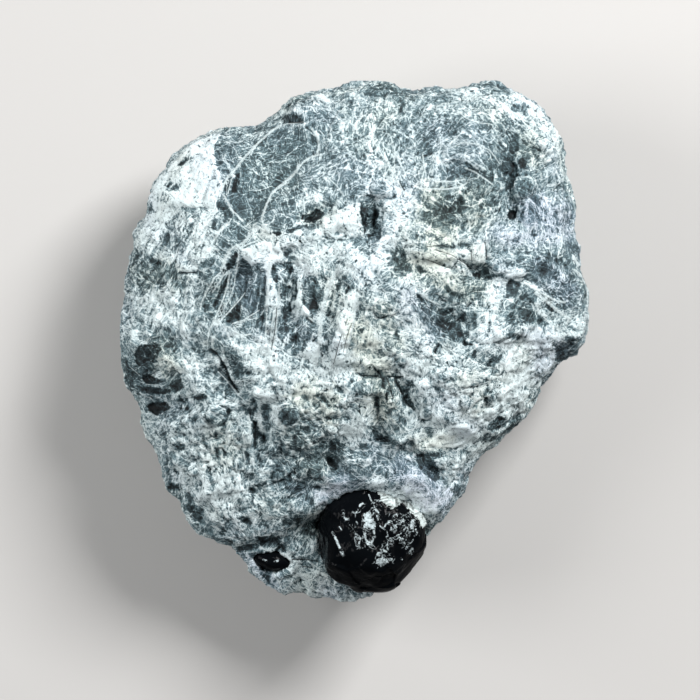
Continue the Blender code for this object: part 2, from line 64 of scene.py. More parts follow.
# ---------------------------------------------------------------- marks on the matrix, in plan
# Tones: 0 is black, 0.4 slate, 0.7 pale and 1 chalk. Each row is tone, half width, then the points of a
# stroke. A later stroke goes over an earlier one.
BROAD_TONES = (
    # crown, upper left
    (0.44, 4.6, (-14, 26.5), (-9, 31), (-5, 34)),
    (0.88, 3.9, (-36.5, 29), (-32.8, 35), (-29, 38.6)),
    (0.9, 2, (-28.6, 28), (-29.4, 23), (-31, 19), (-32.4, 15.4)),
    # crown, top
    (0.46, 3, (0, 40.5), (1, 36)),
    (0.64, 3.2, (4.5, 41), (7, 37), (9, 33.5)),
    (0.5, 2.4, (-4, 31.5), (0, 33)),
    (0.66, 2.4, (11, 38), (10.5, 33)),
    (0.46, 4.8, (20, 41.5), (26, 41), (29, 39.5)),
    (0.54, 3.4, (20.5, 36.5), (26, 36)),
    (0.8, 1.8, (22, 49), (26, 47.6), (31, 47)),
    (0.92, 1.5, (32, 49.6), (35.4, 47.4), (38, 44), (39.4, 40)),
    (0.8, 1.4, (38.6, 39), (39, 34.6)),
    (0.58, 3, (37.6, 32), (38.6, 27), (40, 24.4)),
    (0.45, 3.6, (17.8, 26.8), (20.8, 27)),
    (0.34, 2.2, (28.4, 32.4), (33.4, 31)),
    # crown, middle
    (0.88, 3, (8.6, 29), (9.4, 25), (8.6, 21)),
    (0.92, 2.8, (-6.5, 22.6), (-2, 23.6), (0.6, 26)),
    (0.88, 2.4, (-10, 19), (-4, 18.8), (1, 17.6)),
    (0.86, 2.8, (-1, 15.4), (5, 16.8), (9, 20)),
    (0.82, 1.6, (-17.4, 21.6), (-14, 20.6), (-11, 20)),
    (0.8, 2.6, (12.4, 21), (18, 18), (22, 15.6)),
    (0.76, 2.2, (27, 21), (34, 20.8), (42, 21.4)),
    (0.94, 1.8, (12.8, 18.6), (15.6, 16.4), (19.6, 14.6), (23, 12.8)),
    (0.9, 1.6, (15, 20.6), (20, 19.6), (23.4, 17.6)),
    (0.62, 2.2, (28, 18), (33, 17.6), (37, 18.6)),
    (0.78, 2.6, (12, 12.8), (10.6, 9.6), (14, 6)),
    (0.5, 2.4, (8.6, 16.8), (10.6, 14.6)),
    (0.44, 1.9, (15.4, 11.6), (19, 9.4), (24.6, 10.2)),
    # upright blades and troughs
    (0.62, 1.9, (-3, 12), (-4.2, 6), (-5, 0)),
    (0.6, 2, (3, 12), (3.4, 6)),
    # crown, left
    (0.94, 2.4, (-41.6, 20.6), (-39, 24.4)),
    (0.92, 1.6, (-39.4, 20.4), (-36, 24.6)),
    (0.86, 1.6, (-37.6, 17.2), (-35, 17)),
    (0.66, 4, (-43, 7.4), (-39, 4), (-41, 2)),
    (0.82, 3, (-38.4, 8.4), (-34.6, 6.6), (-33.2, 3)),
    (0.62, 2, (-29.4, 4), (-30, 0.6)),
    (0.42, 2.6, (-38, 2), (-36, 1), (-35.6, -4)),
    (0.8, 2.3, (-31.8, -3.6), (-31, -6.4)),
    # below the middle
    (0.92, 2.4, (-21, -1.2), (-18, -4.2), (-13, -4.6)),
    (0.9, 2.7, (-10, -6.4), (-4, -6.2), (-1.6, -3)),
    (0.72, 3.2, (2, 3), (3, -2.6)),
    (0.58, 2.4, (6.4, 5), (7, 0), (7, -4)),
    (0.76, 3.6, (11.6, 2), (13, -4), (14, -10)),
    (0.82, 3.4, (18.6, -3.6), (22, -8), (23, -13)),
    (0.8, 3.6, (27.6, 6.6), (28, 1), (29, -5.6)),
    (0.98, 3.4, (33, -2), (33.6, -7.4), (31, -10.4)),
    (0.46, 2.8, (32, 10), (34.6, 6.6)),
    (0.84, 1.9, (27.4, 10.4), (26.6, 6)),
    (0.78, 2.2, (40.6, 5), (45, 4.6)),
    (0.4, 3.6, (34.4, 15), (40, 13.4), (43.2, 9.6)),
    (0.42, 2, (42.4, 19), (44.6, 17)),
    (0.92, 2, (37, 0.6), (38.4, -4)),
    (0.5, 1.4, (24, 5), (24, 3)),
    (0.62, 2.4, (27.6, -2.6), (25, -3)),
    (0.88, 1.5, (-1, -4.8), (8, -5), (11.4, -7)),
    (0.86, 1.4, (-18, 0.4), (-12, 0.6)),
    (0.84, 2, (-25.6, -3.6), (-23, -7.6)),
    (0.9, 1.4, (31, 13.4), (34, 13)),
    (0.84, 1.4, (-36.8, -4.6), (-39, -5)),
    # lower half
    (0.74, 3.6, (-8, -11), (-4, -13)),
    (0.5, 3.6, (-8.6, -17), (-4, -19.6)),
    (0.42, 3.4, (-12.6, -18), (-12, -23.6)),
    (0.44, 3.2, (-7.4, -23.6), (-2.4, -22.4)),
    (0.86, 1.7, (2.4, -12.4), (0.4, -16.6), (-1, -19)),
    (0.64, 2.6, (5.6, -10), (5.4, -16), (5, -20.6)),
    (0.52, 2.8, (9.6, -14), (10.6, -19.6), (8, -22.4)),
    (0.88, 3, (15, -13.6), (17.6, -16.6)),
    (0.96, 1.8, (13.4, -19.2), (18.6, -19.2), (22, -16.6)),
    (0.8, 2.6, (23.6, -18.6), (25.4, -20.4)),
    (0.66, 1.8, (19.4, -23), (22, -24.4)),
    # lower left
    (0.7, 3.6, (-32, -12), (-31, -18), (-29, -24)),
    (0.46, 3, (-36.6, -14.6), (-36, -20), (-34.6, -25)),
    (0.62, 2.4, (-40.6, -14.6), (-39.6, -19.6)),
    (0.7, 3, (-27, -21.6), (-26.4, -28), (-25.6, -33.4)),
    (0.64, 3, (-23.4, -15), (-23, -20)),
    (0.56, 3.2, (-19.6, -24), (-19, -31)),
    (0.4, 3, (-10.4, -28.6), (-11, -31)),
    (0.56, 2, (-12.6, -33.6), (-14.6, -36.6), (-18.6, -36.6)),
    (0.4, 1.6, (-30.6, -37), (-28, -38.6)),
    (0.82, 2.2, (-17.6, -10.6), (-16.8, -14.6)),
    (0.36, 2, (-14.4, -12.6), (-12.6, -13.6)),
    (0.9, 1.6, (-16, -10.6), (-11, -9.8)),
    (0.84, 2.2, (-34, -26), (-29, -30.6)),
    (0.96, 2, (16, -16.8), (22.6, -18.6), (27, -18.6)),
    (0.9, 1.8, (26, -14), (33.6, -12.6)),
    # round the large nodule
    (0.78, 3, (11.4, -28), (14.6, -31.6)),
    (0.62, 2.4, (12.6, -25.6), (16.4, -28.6)),
    (0.94, 1.8, (4.8, -27.6), (8, -30.2), (10.6, -31.6)),
    (0.92, 1.3, (-5.6, -28.8), (-2.4, -28.6)),
    (0.8, 1.4, (-6.2, -32), (-6.4, -34.6)),
    (0.92, 1.6, (11, -30), (15, -33.6)),
    # the shelf at the lower end
    (0.4, 1.7, (-18, -39.6), (-13.6, -39.8)),
    (0.64, 2.6, (-19, -44.6), (-15.6, -47.4)),
    (0.76, 2.4, (-12, -46.6), (-10, -49.6)),
    (0.72, 1.9, (-7, -47.6), (-4.4, -49.4)),
    (0.8, 0.9, (-9, -50.8), (-3.6, -51.2), (2.6, -50.8), (6, -49.2)),
    # places that stand out from what lies round them
    (0.84, 2.6, (-9.6, 16.4), (-6, 13.6), (-4, 11.6)),
    (0.9, 1.6, (10.4, 20.4), (11.4, 17.4), (11.2, 12)),
    (0.7, 1.6, (17, 12), (21.6, 11.4)),
    (1.0, 1.6, (15, 16.6), (21.6, 16.2), (25.6, 15), (29, 12.8), (31, 12)),
    (0.98, 2.6, (-7, -1.8), (-1.2, -3.6)),
    (0.84, 1.6, (4.6, 2), (5.4, -0.6)),
    (0.82, 2.4, (0.6, -12.4), (4.6, -12.8)),
    (0.88, 1.5, (-6.4, -9.6), (-2, -11.2)),
    (0.96, 1.8, (-1.6, -17.2), (0.8, -17.8)),
    (0.86, 1.6, (12, -14), (17, -16)),
    (0.8, 1.4, (16, -24.6), (20, -23.6)),
    (0.8, 1.6, (15.6, 37), (16.6, 34), (14.8, 31.6)),
    (0.88, 1.2, (5.6, 28.4), (6, 25.4)),
    (0.62, 1.4, (31, 28.6), (33.6, 26.6)),
    (0.6, 2.2, (-6, 48), (0, 47.4)),
    (0.64, 1.8, (18.6, 46), (22.6, 45.4)),
    (0.86, 1.4, (34, 44.6), (35.4, 41)),
    (0.88, 2, (-27.4, -24.4), (-25, -28.6)),
    (0.95, 1.1, (-6.4, -32), (-6.2, -36.6)),
    (0.98, 1.6, (6, -28), (9, -29.4), (13, -31)),
    (0.95, 1.3, (-38, -4.4), (-35, -6)),
    (0.74, 1.2, (-28.6, -8.4), (-26.8, -9)),
    (0.2, 1.8, (-44.4, -8), (-43.4, -5), (-40.6, -3.6)),
    (0.28, 1.5, (14.4, 7), (18.6, 3)),
    (0.32, 1.3, (22.6, 13.4), (25.4, 13.6)),
    (0.28, 1.8, (28, 35), (29.6, 32.6)),
    (0.42, 1.5, (37, 25.6), (40, 24.4)),
    (0.4, 1.4, (-15.6, -31), (-14, -33.6)),
    (0.32, 1.5, (-27.6, 7.4), (-25.4, 6)),
    (0.52, 1.5, (-34, 6.6), (-32, 6)),
    (0.72, 1.4, (-33.6, -22), (-31.6, -23)),
    (0.4, 1.4, (-30.4, -8), (-29.4, -10)),
    (0.5, 1.2, (-13.6, -2.6), (-11.6, -3.4)),
    (0.28, 1.2, (3.2, -19.6), (4.2, -21)),
    (0.96, 1.6, (-17.6, -43), (-13.6, -42.6), (-10.4, -46.8)),
    (0.3, 1.4, (20.6, 33), (23.6, 31.4)),
    (0.44, 1.4, (25.4, 47.4), (30, 45)),
    (0.5, 1.3, (36, 36.6), (39.4, 34.6)),
    (0.98, 1.5, (-39, 30), (-36.4, 27), (-34, 24)),
    (0.66, 1.4, (-13.4, 46), (-8, 45.6)),
    (0.84, 1.2, (32.4, 2.4), (35, 2)),
    (0.95, 1.2, (39, 1.6), (44.6, 1.8)),
    (0.85, 1.5, (-30.6, 19.6), (-29, 16.8)),
    (0.9, 1.3, (1.4, 13.8), (3.4, 13)),
    (0.86, 1.3, (15, -7), (19.6, -9.4)),
    (0.4, 1.1, (-13.6, -46.6), (-12, -46)),
    (0.44, 1.2, (24.4, 21), (27, 20.6)),
    (0.5, 1.2, (12.4, 21), (14.4, 18.6)),
    (0.42, 1.4, (4.6, -24.6), (7, -26)),
)
# Smaller marks with firmer edges: tone, half width, how far the surface is sunk there (below 0: raised)
MARKS = (
    # deep hollows
    (0.45, 0.8, 0.6, (1.6, 27.9), (3.4, 28.2), (5.2, 27.6)),
    (0.36, 0.6, 0.3, (-9.4, 22.6), (-7, 23.2)),
    (0.34, 0.7, 0.2, (-15.4, 23), (-14.2, 22.6)),
    (0.34, 0.5, 0.5, (26.8, 13.4), (29.6, 13.6)),
    (0.34, 0.75, 0.4, (25, 15), (26.8, 15)),
    # upper left
    (0.32, 0.85, 0.4, (-25.6, 27.6), (-24.9, 26.2), (-24.4, 25.4)),
    (0.12, 0.34, 0.4, (-34.1, 35.6), (-33.2, 36.4)),
    (0.16, 0.3, 0.3, (-32, 36.5), (-31.4, 37.1)),
    (0.12, 0.28, 0.4, (-36.9, 31.4), (-36.2, 32.2)),
    (0.38, 0.75, 0.4, (-35.2, 30.9), (-34.2, 31.2)),
    (0.36, 0.45, 0.3, (-40.2, 27.6), (-40, 26.3)),
    (0.32, 0.26, 0.2, (-35.4, 25), (-34.6, 25.5)),
    (0.32, 0.36, 0.3, (-33, 22.8), (-32.2, 21.6)),
    (0.34, 0.6, 0.3, (-36.8, 21.6), (-36.9, 19.6)),
    (0.22, 0.34, 0.4, (-41.9, 18.2), (-43.4, 16.6), (-44.6, 14.8)),
    (0.24, 0.6, 0.5, (-39.8, 16.4), (-38.6, 16)),
    (0.2, 0.16, 0.3, (-33.9, 14), (-31.4, 14.1)),
    # upright blades
    (0.05, 0.62, 0.9, (-22.7, 6.8), (-23.4, 5.9), (-24.2, 5.2)),
    (0.1, 0.42, 0.6, (-22.4, 5.6), (-24.8, 4.6)),
    (0.3, 0.42, 0.3, (-19.8, 0.9), (-19.2, 0.4)),
    (0.12, 0.26, 0.4, (-16.2, 11.4), (-15.9, 10.9)),
    (0.3, 0.75, 0.5, (-12.7, 17.7), (-11.7, 16.9)),
    (0.1, 0.3, 0.6, (-13.6, 7), (-13.3, 5.2)),
    (0.07, 0.55, 0.9, (-7.7, 8.8), (-7.3, 7.2)),
    (0.07, 0.34, 0.7, (-11, 1.4), (-12.1, 0.3)),
    (0.4, 0.3, 0.3, (-10, -4.4), (-8.6, -4.8)),
    (0.42, 0.4, 0.2, (-6.3, 13.4), (-5.2, 13)),
    # top
    (0.28, 0.8, 0.4, (5.4, 50.8), (7, 51.2), (8.6, 51.4)),
    (0.26, 0.45, 0.4, (9.6, 48.4), (10, 47.2), (9.7, 46.2)),
    (0.4, 0.7, 0.2, (8.8, 50), (12, 50.2)),
    (0.36, 1.1, 0.2, (19, 43), (19.6, 41.8)),
    (0.32, 0.7, 0.3, (14.4, 42.4), (15.4, 41.4)),
    (0.34, 0.8, 0.3, (14.6, 39.6), (15, 37.8)),
    (0.46, 1.2, 0.1, (6.8, 42), (5.4, 41.4)),
    (0.26, 0.26, 0.3, (6, 28.5), (7.4, 28.7), (8.2, 29.2)),
    (0.24, 0.6, 0.4, (-14, 45), (-10.6, 44.8)),
    (0.3, 0.45, 0.4, (-12.6, 47.4), (-11, 48), (-9.4, 48.6)),
    (0.3, 0.5, 0.4, (-19, 42.6), (-16.6, 43)),
    (0.44, 0.6, 0.2, (-1, 48.6), (0.4, 48.6)),
    (0.36, 0.7, 0.2, (31.6, 43.8), (33, 43.5)),
    (0.42, 0.9, 0.2, (32.2, 47.2), (33, 46.6)),
    (0.3, 0.5, 0.3, (34.3, 47), (34.2, 46)),
    (0.34, 0.55, 0.3, (36, 38.6), (36.6, 36.6)),
    (0.34, 1.1, 0.2, (25.6, 51.2), (27, 51.2)),
    (0.34, 0.9, 0.2, (28.6, 51), (30, 51)),
    (0.16, 1.3, 0.7, (17.6, 26.2), (20.6, 27)),
    (0.34, 0.9, 0.3, (26, 27), (28.4, 28.4)),
    # right
    (0.1, 0.24, 0.4, (35.9, 22.3), (35.6, 21.8), (36.4, 21.5)),
    (0.26, 0.7, 0.4, (39, 17.2), (40.8, 16.4)),
    (0.26, 0.8, 0.3, (37, 15.2), (38, 14.8)),
    (0.32, 0.7, 0.2, (34, 15.4), (35.4, 14.6)),
    (0.3, 0.6, 0.3, (30.2, 15.6), (31.2, 15.2)),
    (0.32, 0.6, 0.3, (44, 19.4), (45.4, 18.2)),
    (0.18, 0.42, 0.4, (31.2, 12.2), (32.6, 11.8)),
    (0.34, 0.8, 0.3, (34, 8.6), (35.6, 7.6)),
    (0.26, 0.6, 0.3, (36.4, 4.8), (37.6, 4.2)),
    (0.28, 0.8, 0.3, (30.6, 5.4), (31.4, 4.4)),
    (0.28, 0.34, 0.3, (43, 3.2), (44.2, 2.8)),
    (0.34, 0.6, 0.2, (30.8, 2), (32.6, 1.2)),
    (0.3, 0.5, 0.2, (42.6, 0.9), (45.4, 0.8)),
    (0.4, 0.34, 0.2, (37.2, -1), (37.4, -1.8)),
    (0.26, 0.5, 0.4, (26.6, -3.8), (28.6, -3.4), (29.2, -2.4)),
    (0.3, 0.24, 0.2, (34.2, -8.6), (35, -9.2)),
    (0.34, 0.5, 0.2, (26.6, -9), (27.2, -9.6)),
    (0.24, 0.8, 0.4, (27.4, -16.6), (29.4, -15.4)),
    (0.36, 0.6, 0.2, (31.6, -15.4), (33.6, -14.6)),
    (0.2, 0.4, 0.2, (30, -18), (33.4, -16)),
    (0.34, 0.7, 0.2, (26, -18.6), (28.4, -18.8)),
    # centre right
    (0.36, 0.7, 0.5, (8.2, 17.6), (8.8, 16.6)),
    (0.36, 0.8, 0.3, (9.6, 15.4), (10.6, 14.8)),
    (0.2, 0.26, 0.4, (12.2, 17.2), (12.6, 16.4), (13.6, 15.6)),
    (0.38, 0.8, 0.3, (13, 14.8), (14.4, 14.2)),
    (0.3, 0.3, 0.3, (19.8, 14.6), (20.6, 14.5)),
    (0.36, 0.6, 0.3, (18.6, 10.8), (19.6, 9.8)),
    (0.34, 0.8, 0.3, (20, 9.6), (21.6, 9.2)),
    (0.36, 0.8, 0.3, (23, 9.6), (24.6, 9.6)),
    (0.34, 0.6, 0.3, (24.6, 11), (25.4, 10.6)),
    (0.34, 0.34, 0.3, (14.8, 21.4), (16, 21.4)),
    (0.32, 0.5, 0.3, (17, 19), (19.6, 18.8)),
    (0.26, 0.34, 0.3, (16.4, 20.6), (17.4, 20.4)),
    (0.3, 0.6, 0.3, (21.4, 19.4), (22.6, 19.2)),
    (0.34, 0.4, 0.3, (21, 17.6), (21.8, 17)),
    (0.3, 0.45, 0.5, (12.6, 9.2), (14.4, 8.6)),
    (0.1, 0.9, 0.9, (17.8, 4), (18.8, 3.4)),
    (0.16, 0.6, 0.6, (21, 1.8), (22.6, 2)),
    (0.26, 0.4, 0.4, (24, 5.2), (24, 3.4)),
    (0.08, 0.24, 0.5, (16.8, -0.3), (16.3, -0.9), (16.1, -1.8)),
    (0.26, 0.36, 0.3, (8.6, 2.4), (8.8, 1)),
    (0.38, 1, 0.2, (5.4, 7.2), (6.6, 6.6)),
    (0.46, 0.8, 0.1, (6.6, -0.6), (8, -0.8)),
    # the forked crack
    (0.3, 0.2, 0.3, (0.8, -5.8), (2, -6.3), (4, -6.2), (6, -6.6), (8, -6.3), (9.8, -6.6)),
    (0.45, 0.4, 0.1, (4.6, -5), (5.6, -6)),
    (0.2, 0.4, 0.6, (6, -7), (6, -8.4)),
    (0.18, 0.28, 0.4, (8.4, -7), (9.2, -8.6), (10, -10.4), (10.4, -11.8)),
    (0.14, 0.3, 0.6, (6.8, -9.4), (6.6, -11)),
    (0.2, 0.34, 0.5, (7.4, -8.4), (7.9, -10.4)),
    (0.26, 0.16, 0.2, (5, -12.8), (4.9, -14.4), (5.4, -16), (5.4, -17.4)),
    (0.37, 0.9, 0.1, (28.6, 33.4), (29, 32)),
    (0.62, 0.8, 0, (-24.8, 1.4), (-23.2, 1)),
    (0.64, 0.8, 0, (-21.4, 0.5), (-19.2, 1)),
    (0.62, 0.8, 0, (-9.4, 29.8), (-7.4, 29.4)),
    (0.26, 0.6, 0.4, (4.8, -11), (5, -12.2)),
    (0.18, 0.4, 0.5, (7, -13.4), (8, -13)),
    (0.34, 0.5, 0.3, (3.8, -16.8), (4.4, -17.6)),
    (0.24, 0.8, 0.5, (5, -18.8), (7.6, -19.2)),
    (0.26, 0.5, 0.4, (9.4, -14.8), (10.4, -15.6)),
    (0.4, 0.6, 0.3, (0.8, -9.6), (3.4, -9.6)),
    (0.32, 0.5, 0.4, (-2.6, -8.4), (-2.4, -9.6)),
    (0.44, 0.7, 0.3, (-0.6, -11.6), (0, -12.8)),
    (0.34, 0.34, 0.3, (-0.2, -6.4), (0, -8.6)),
    # knobs below the middle
    (0.34, 0.4, 0.4, (-9.6, -10.6), (-8.8, -10.8)),
    (0.3, 0.4, 0.4, (-6.8, -10.2), (-5.6, -11.4)),
    (0.34, 0.4, 0.3, (-5, -11.2), (-4.6, -12.4)),
    (0.12, 0.3, 0.5, (-5.2, -14.8), (-3, -14.4)),
    (0.2, 0.34, 0.4, (-2, -14.6), (-0.8, -14.8)),
    (0.14, 0.36, 0.5, (-4.6, -17.4), (-3.4, -17.9), (-2.8, -17.2)),
    (0.24, 0.6, 0.4, (-7.8, -18.6), (-6, -20)),
    (0.14, 0.8, 0.6, (-3.8, -20.2), (-2.4, -20.2)),
    (0.06, 0.62, 0.9, (-4.4, -23.2), (-3.8, -24.2)),
    (0.26, 0.8, 0.4, (-8, -25.4), (-6.8, -25.9)),
    (0.18, 0.34, 0.5, (-7.4, -28.2), (-6.4, -28.4)),
    (0.14, 0.5, 0.5, (-10.2, -18.2), (-11.4, -18.6)),
    (0.28, 1.2, 0.4, (-11, -28.4), (-10.2, -29.4)),
    (0.24, 0.7, 0.3, (-12.6, -26.2), (-11, -26.6)),
    (0.26, 0.7, 0.3, (-15, -24.6), (-15.2, -26.6)),
    (0.26, 0.6, 0.4, (-8.8, -30.8), (-8, -31.6)),
    (0.2, 0.5, 0.4, (-20, -29.2), (-19.6, -30.2)),
    # the fissure and what lies left of it
    (0.18, 0.28, 0.5, (-19.3, -15.4), (-19, -17), (-19.3, -19), (-19.2, -20.6)),
    (0.3, 0.8, 0.5, (-17.4, -12.4), (-16.8, -16.6)),
    (0.14, 0.5, 0.6, (-17.6, -18), (-17.4, -19.2)),
    (0.2, 0.6, 0.6, (-19.6, -11.4), (-19.2, -12.6)),
    (0.26, 0.6, 0.5, (-20, -13.4), (-20.6, -13)),
    (0.08, 0.34, 0.6, (-18.4, -21.4), (-17, -21.4)),
    (0.2, 0.6, 0.5, (-21, -21.8), (-20.6, -23.2)),
    (0.3, 0.5, 0.4, (-28, -1.4), (-26.6, -2)),
    (0.28, 0.28, 0.4, (-26.2, -5.2), (-25.2, -6.6), (-24.2, -8.6), (-23, -10.2)),
    (0.28, 0.4, 0.3, (-20.6, -5.8), (-19.6, -5.9)),
    (0.3, 0.36, 0.4, (-30, -5.6), (-28.2, -5.9)),
    (0.4, 0.8, 0.2, (-31.2, -0.6), (-30, -1.8)),
    (0.3, 0.5, 0.3, (-24.8, -9.2), (-24.2, -9.8)),
    (0.26, 0.6, 0.5, (-36.4, -0.4), (-35.2, -0.8)),
    (0.1, 0.5, 0.8, (-41.4, -9.4), (-38.6, -9.3)),
    (0.22, 0.5, 0.5, (-34, -10.8), (-33, -11.4)),
    # Painted shadow: a dark crescent where shade falls, with the surface sunk there as well
    (0.16, 0.42, 0.8, (-31.6, -10.5), (-30.4, -10.8), (-29.2, -10.4)),
    (0.16, 0.36, 0.5, (-33.8, -12.9), (-32.6, -13)),
    (0.34, 0.6, 0.3, (-31.8, -14.8), (-31.4, -15)),
    # Painted shade: the dark underside of the ball at (-27, -14.2), sunk as well
    (0.14, 0.5, 0.7, (-26.2, -15.6), (-25.4, -14.4), (-24.8, -13.6)),
    (0.3, 0.6, 0.5, (-28.6, -15), (-28, -16)),
    (0.14, 0.36, 0.5, (-29.1, -19.4), (-28.8, -20.2)),
    (0.26, 0.4, 0.4, (-27, -18.2), (-26.8, -19)),
    (0.2, 0.34, 0.4, (-27.2, -20.8), (-26.6, -22)),
    (0.26, 0.5, 0.4, (-25.6, -21), (-25.4, -22)),
    (0.2, 0.6, 0.4, (-34.8, -20), (-33.8, -20.8)),
    (0.18, 0.3, 0.3, (-35.4, -25), (-35, -25.7)),
    (0.08, 0.62, 1, (-36.2, -28.6), (-35, -28.4)),
    (0.24, 0.6, 0.4, (-32.6, -30.2), (-32.2, -31.2)),
    (0.18, 0.6, 0.5, (-31.4, -34.4), (-30.4, -34.5)),
    (0.24, 0.7, 0.4, (-33, -32.4), (-30.6, -33.4)),
    (0.2, 0.6, 0.4, (-26, -37.6), (-25, -37.2)),
    (0.12, 0.36, 0.5, (-25.2, -39.4), (-23.8, -39.6)),
    (0.26, 0.5, 0.4, (-22.2, -34.6), (-21.2, -35)),
    (0.18, 0.7, 0.6, (-13, -35.4), (-11, -35.2)),
    (0.26, 1.3, 0.8, (-8.8, -36.8), (-7.6, -36)),
    (0.2, 0.6, 0.6, (-8.6, -37.8), (-7.4, -37.8)),
    (0.16, 0.8, 0.5, (-18.4, -39), (-15, -39.2)),
    (0.12, 0.7, 0.5, (-14.6, -40.4), (-13.6, -41)),
    (0.16, 0.5, 0.4, (-22.6, -40.8), (-20, -40.4)),
    # the shelf
    (0.22, 0.8, 0.5, (-19.4, -42), (-18, -42.4)),
    (0.26, 0.7, 0.3, (-17.6, -44.4), (-16.6, -45.6)),
    (0.3, 0.6, 0.3, (-14.6, -44.6), (-12.6, -45.6)),
    (0.3, 0.5, 0.3, (-18, -46), (-16.8, -47.4)),
    # lower right
    (0.36, 0.6, 0.3, (15, -17), (15.6, -17.6)),
    (0.36, 0.5, 0.3, (18.4, -14.4), (18.8, -15)),
    (0.34, 0.34, 0.3, (16.4, -8.8), (17.4, -9.6)),
    (0.32, 0.6, 0.3, (18, -6.4), (18.2, -7.4)),
    (0.36, 0.34, 0.3, (20, -6), (20.6, -6.8)),
    (0.3, 0.5, 0.4, (11, -7.4), (11.8, -8.2)),
)
# Small pale marks, in the same way
PALE_MARKS = (
    (0.92, 0.5, -0.1, (-23.6, 2.4), (-22, 1.8)),
    # Painted highlight: the pale upper left of the ball at (-27, -14.2)
    (0.95, 0.36, -0.1, (-28.6, -13.4), (-27.8, -13.2)),
    (0.9, 0.34, -0.1, (-29, -23.6), (-28.2, -21.4)),
    (0.95, 0.6, -0.1, (-28, -24), (-26.6, -23.4)),
    (0.95, 0.55, -0.1, (-25.2, -30.4), (-24.6, -31.6)),
    (0.9, 0.45, -0.1, (-33.2, -34.8), (-32, -35.4)),
    (0.94, 0.45, -0.1, (44, 17.2), (44.6, 16)),
    (0.92, 0.4, -0.1, (34.6, 12), (37, 10.4), (38.6, 9.2)),
    (0.92, 0.34, -0.1, (36.6, 6.6), (38.4, 5)),
    (0.9, 0.5, -0.1, (12.6, 16.4), (14.4, 15.2), (16.6, 14.2)),
    (0.9, 0.5, -0.1, (13, 11.6), (14.2, 10)),
    (0.95, 0.5, -0.1, (21, 15), (22, 14)),
    (0.94, 0.45, -0.1, (24.6, 50.6), (22.4, 50.2)),
    (0.9, 0.6, -0.1, (-6.6, 49), (-5, 48.4)),
    (0.86, 0.45, -0.1, (1, 28.6), (2.6, 29)),
    (0.9, 0.8, -0.1, (-15.2, -12.6), (-15.4, -15)),
    (0.7, 0.9, 0.2, (-31, -9), (-29.8, -8.8)),
)
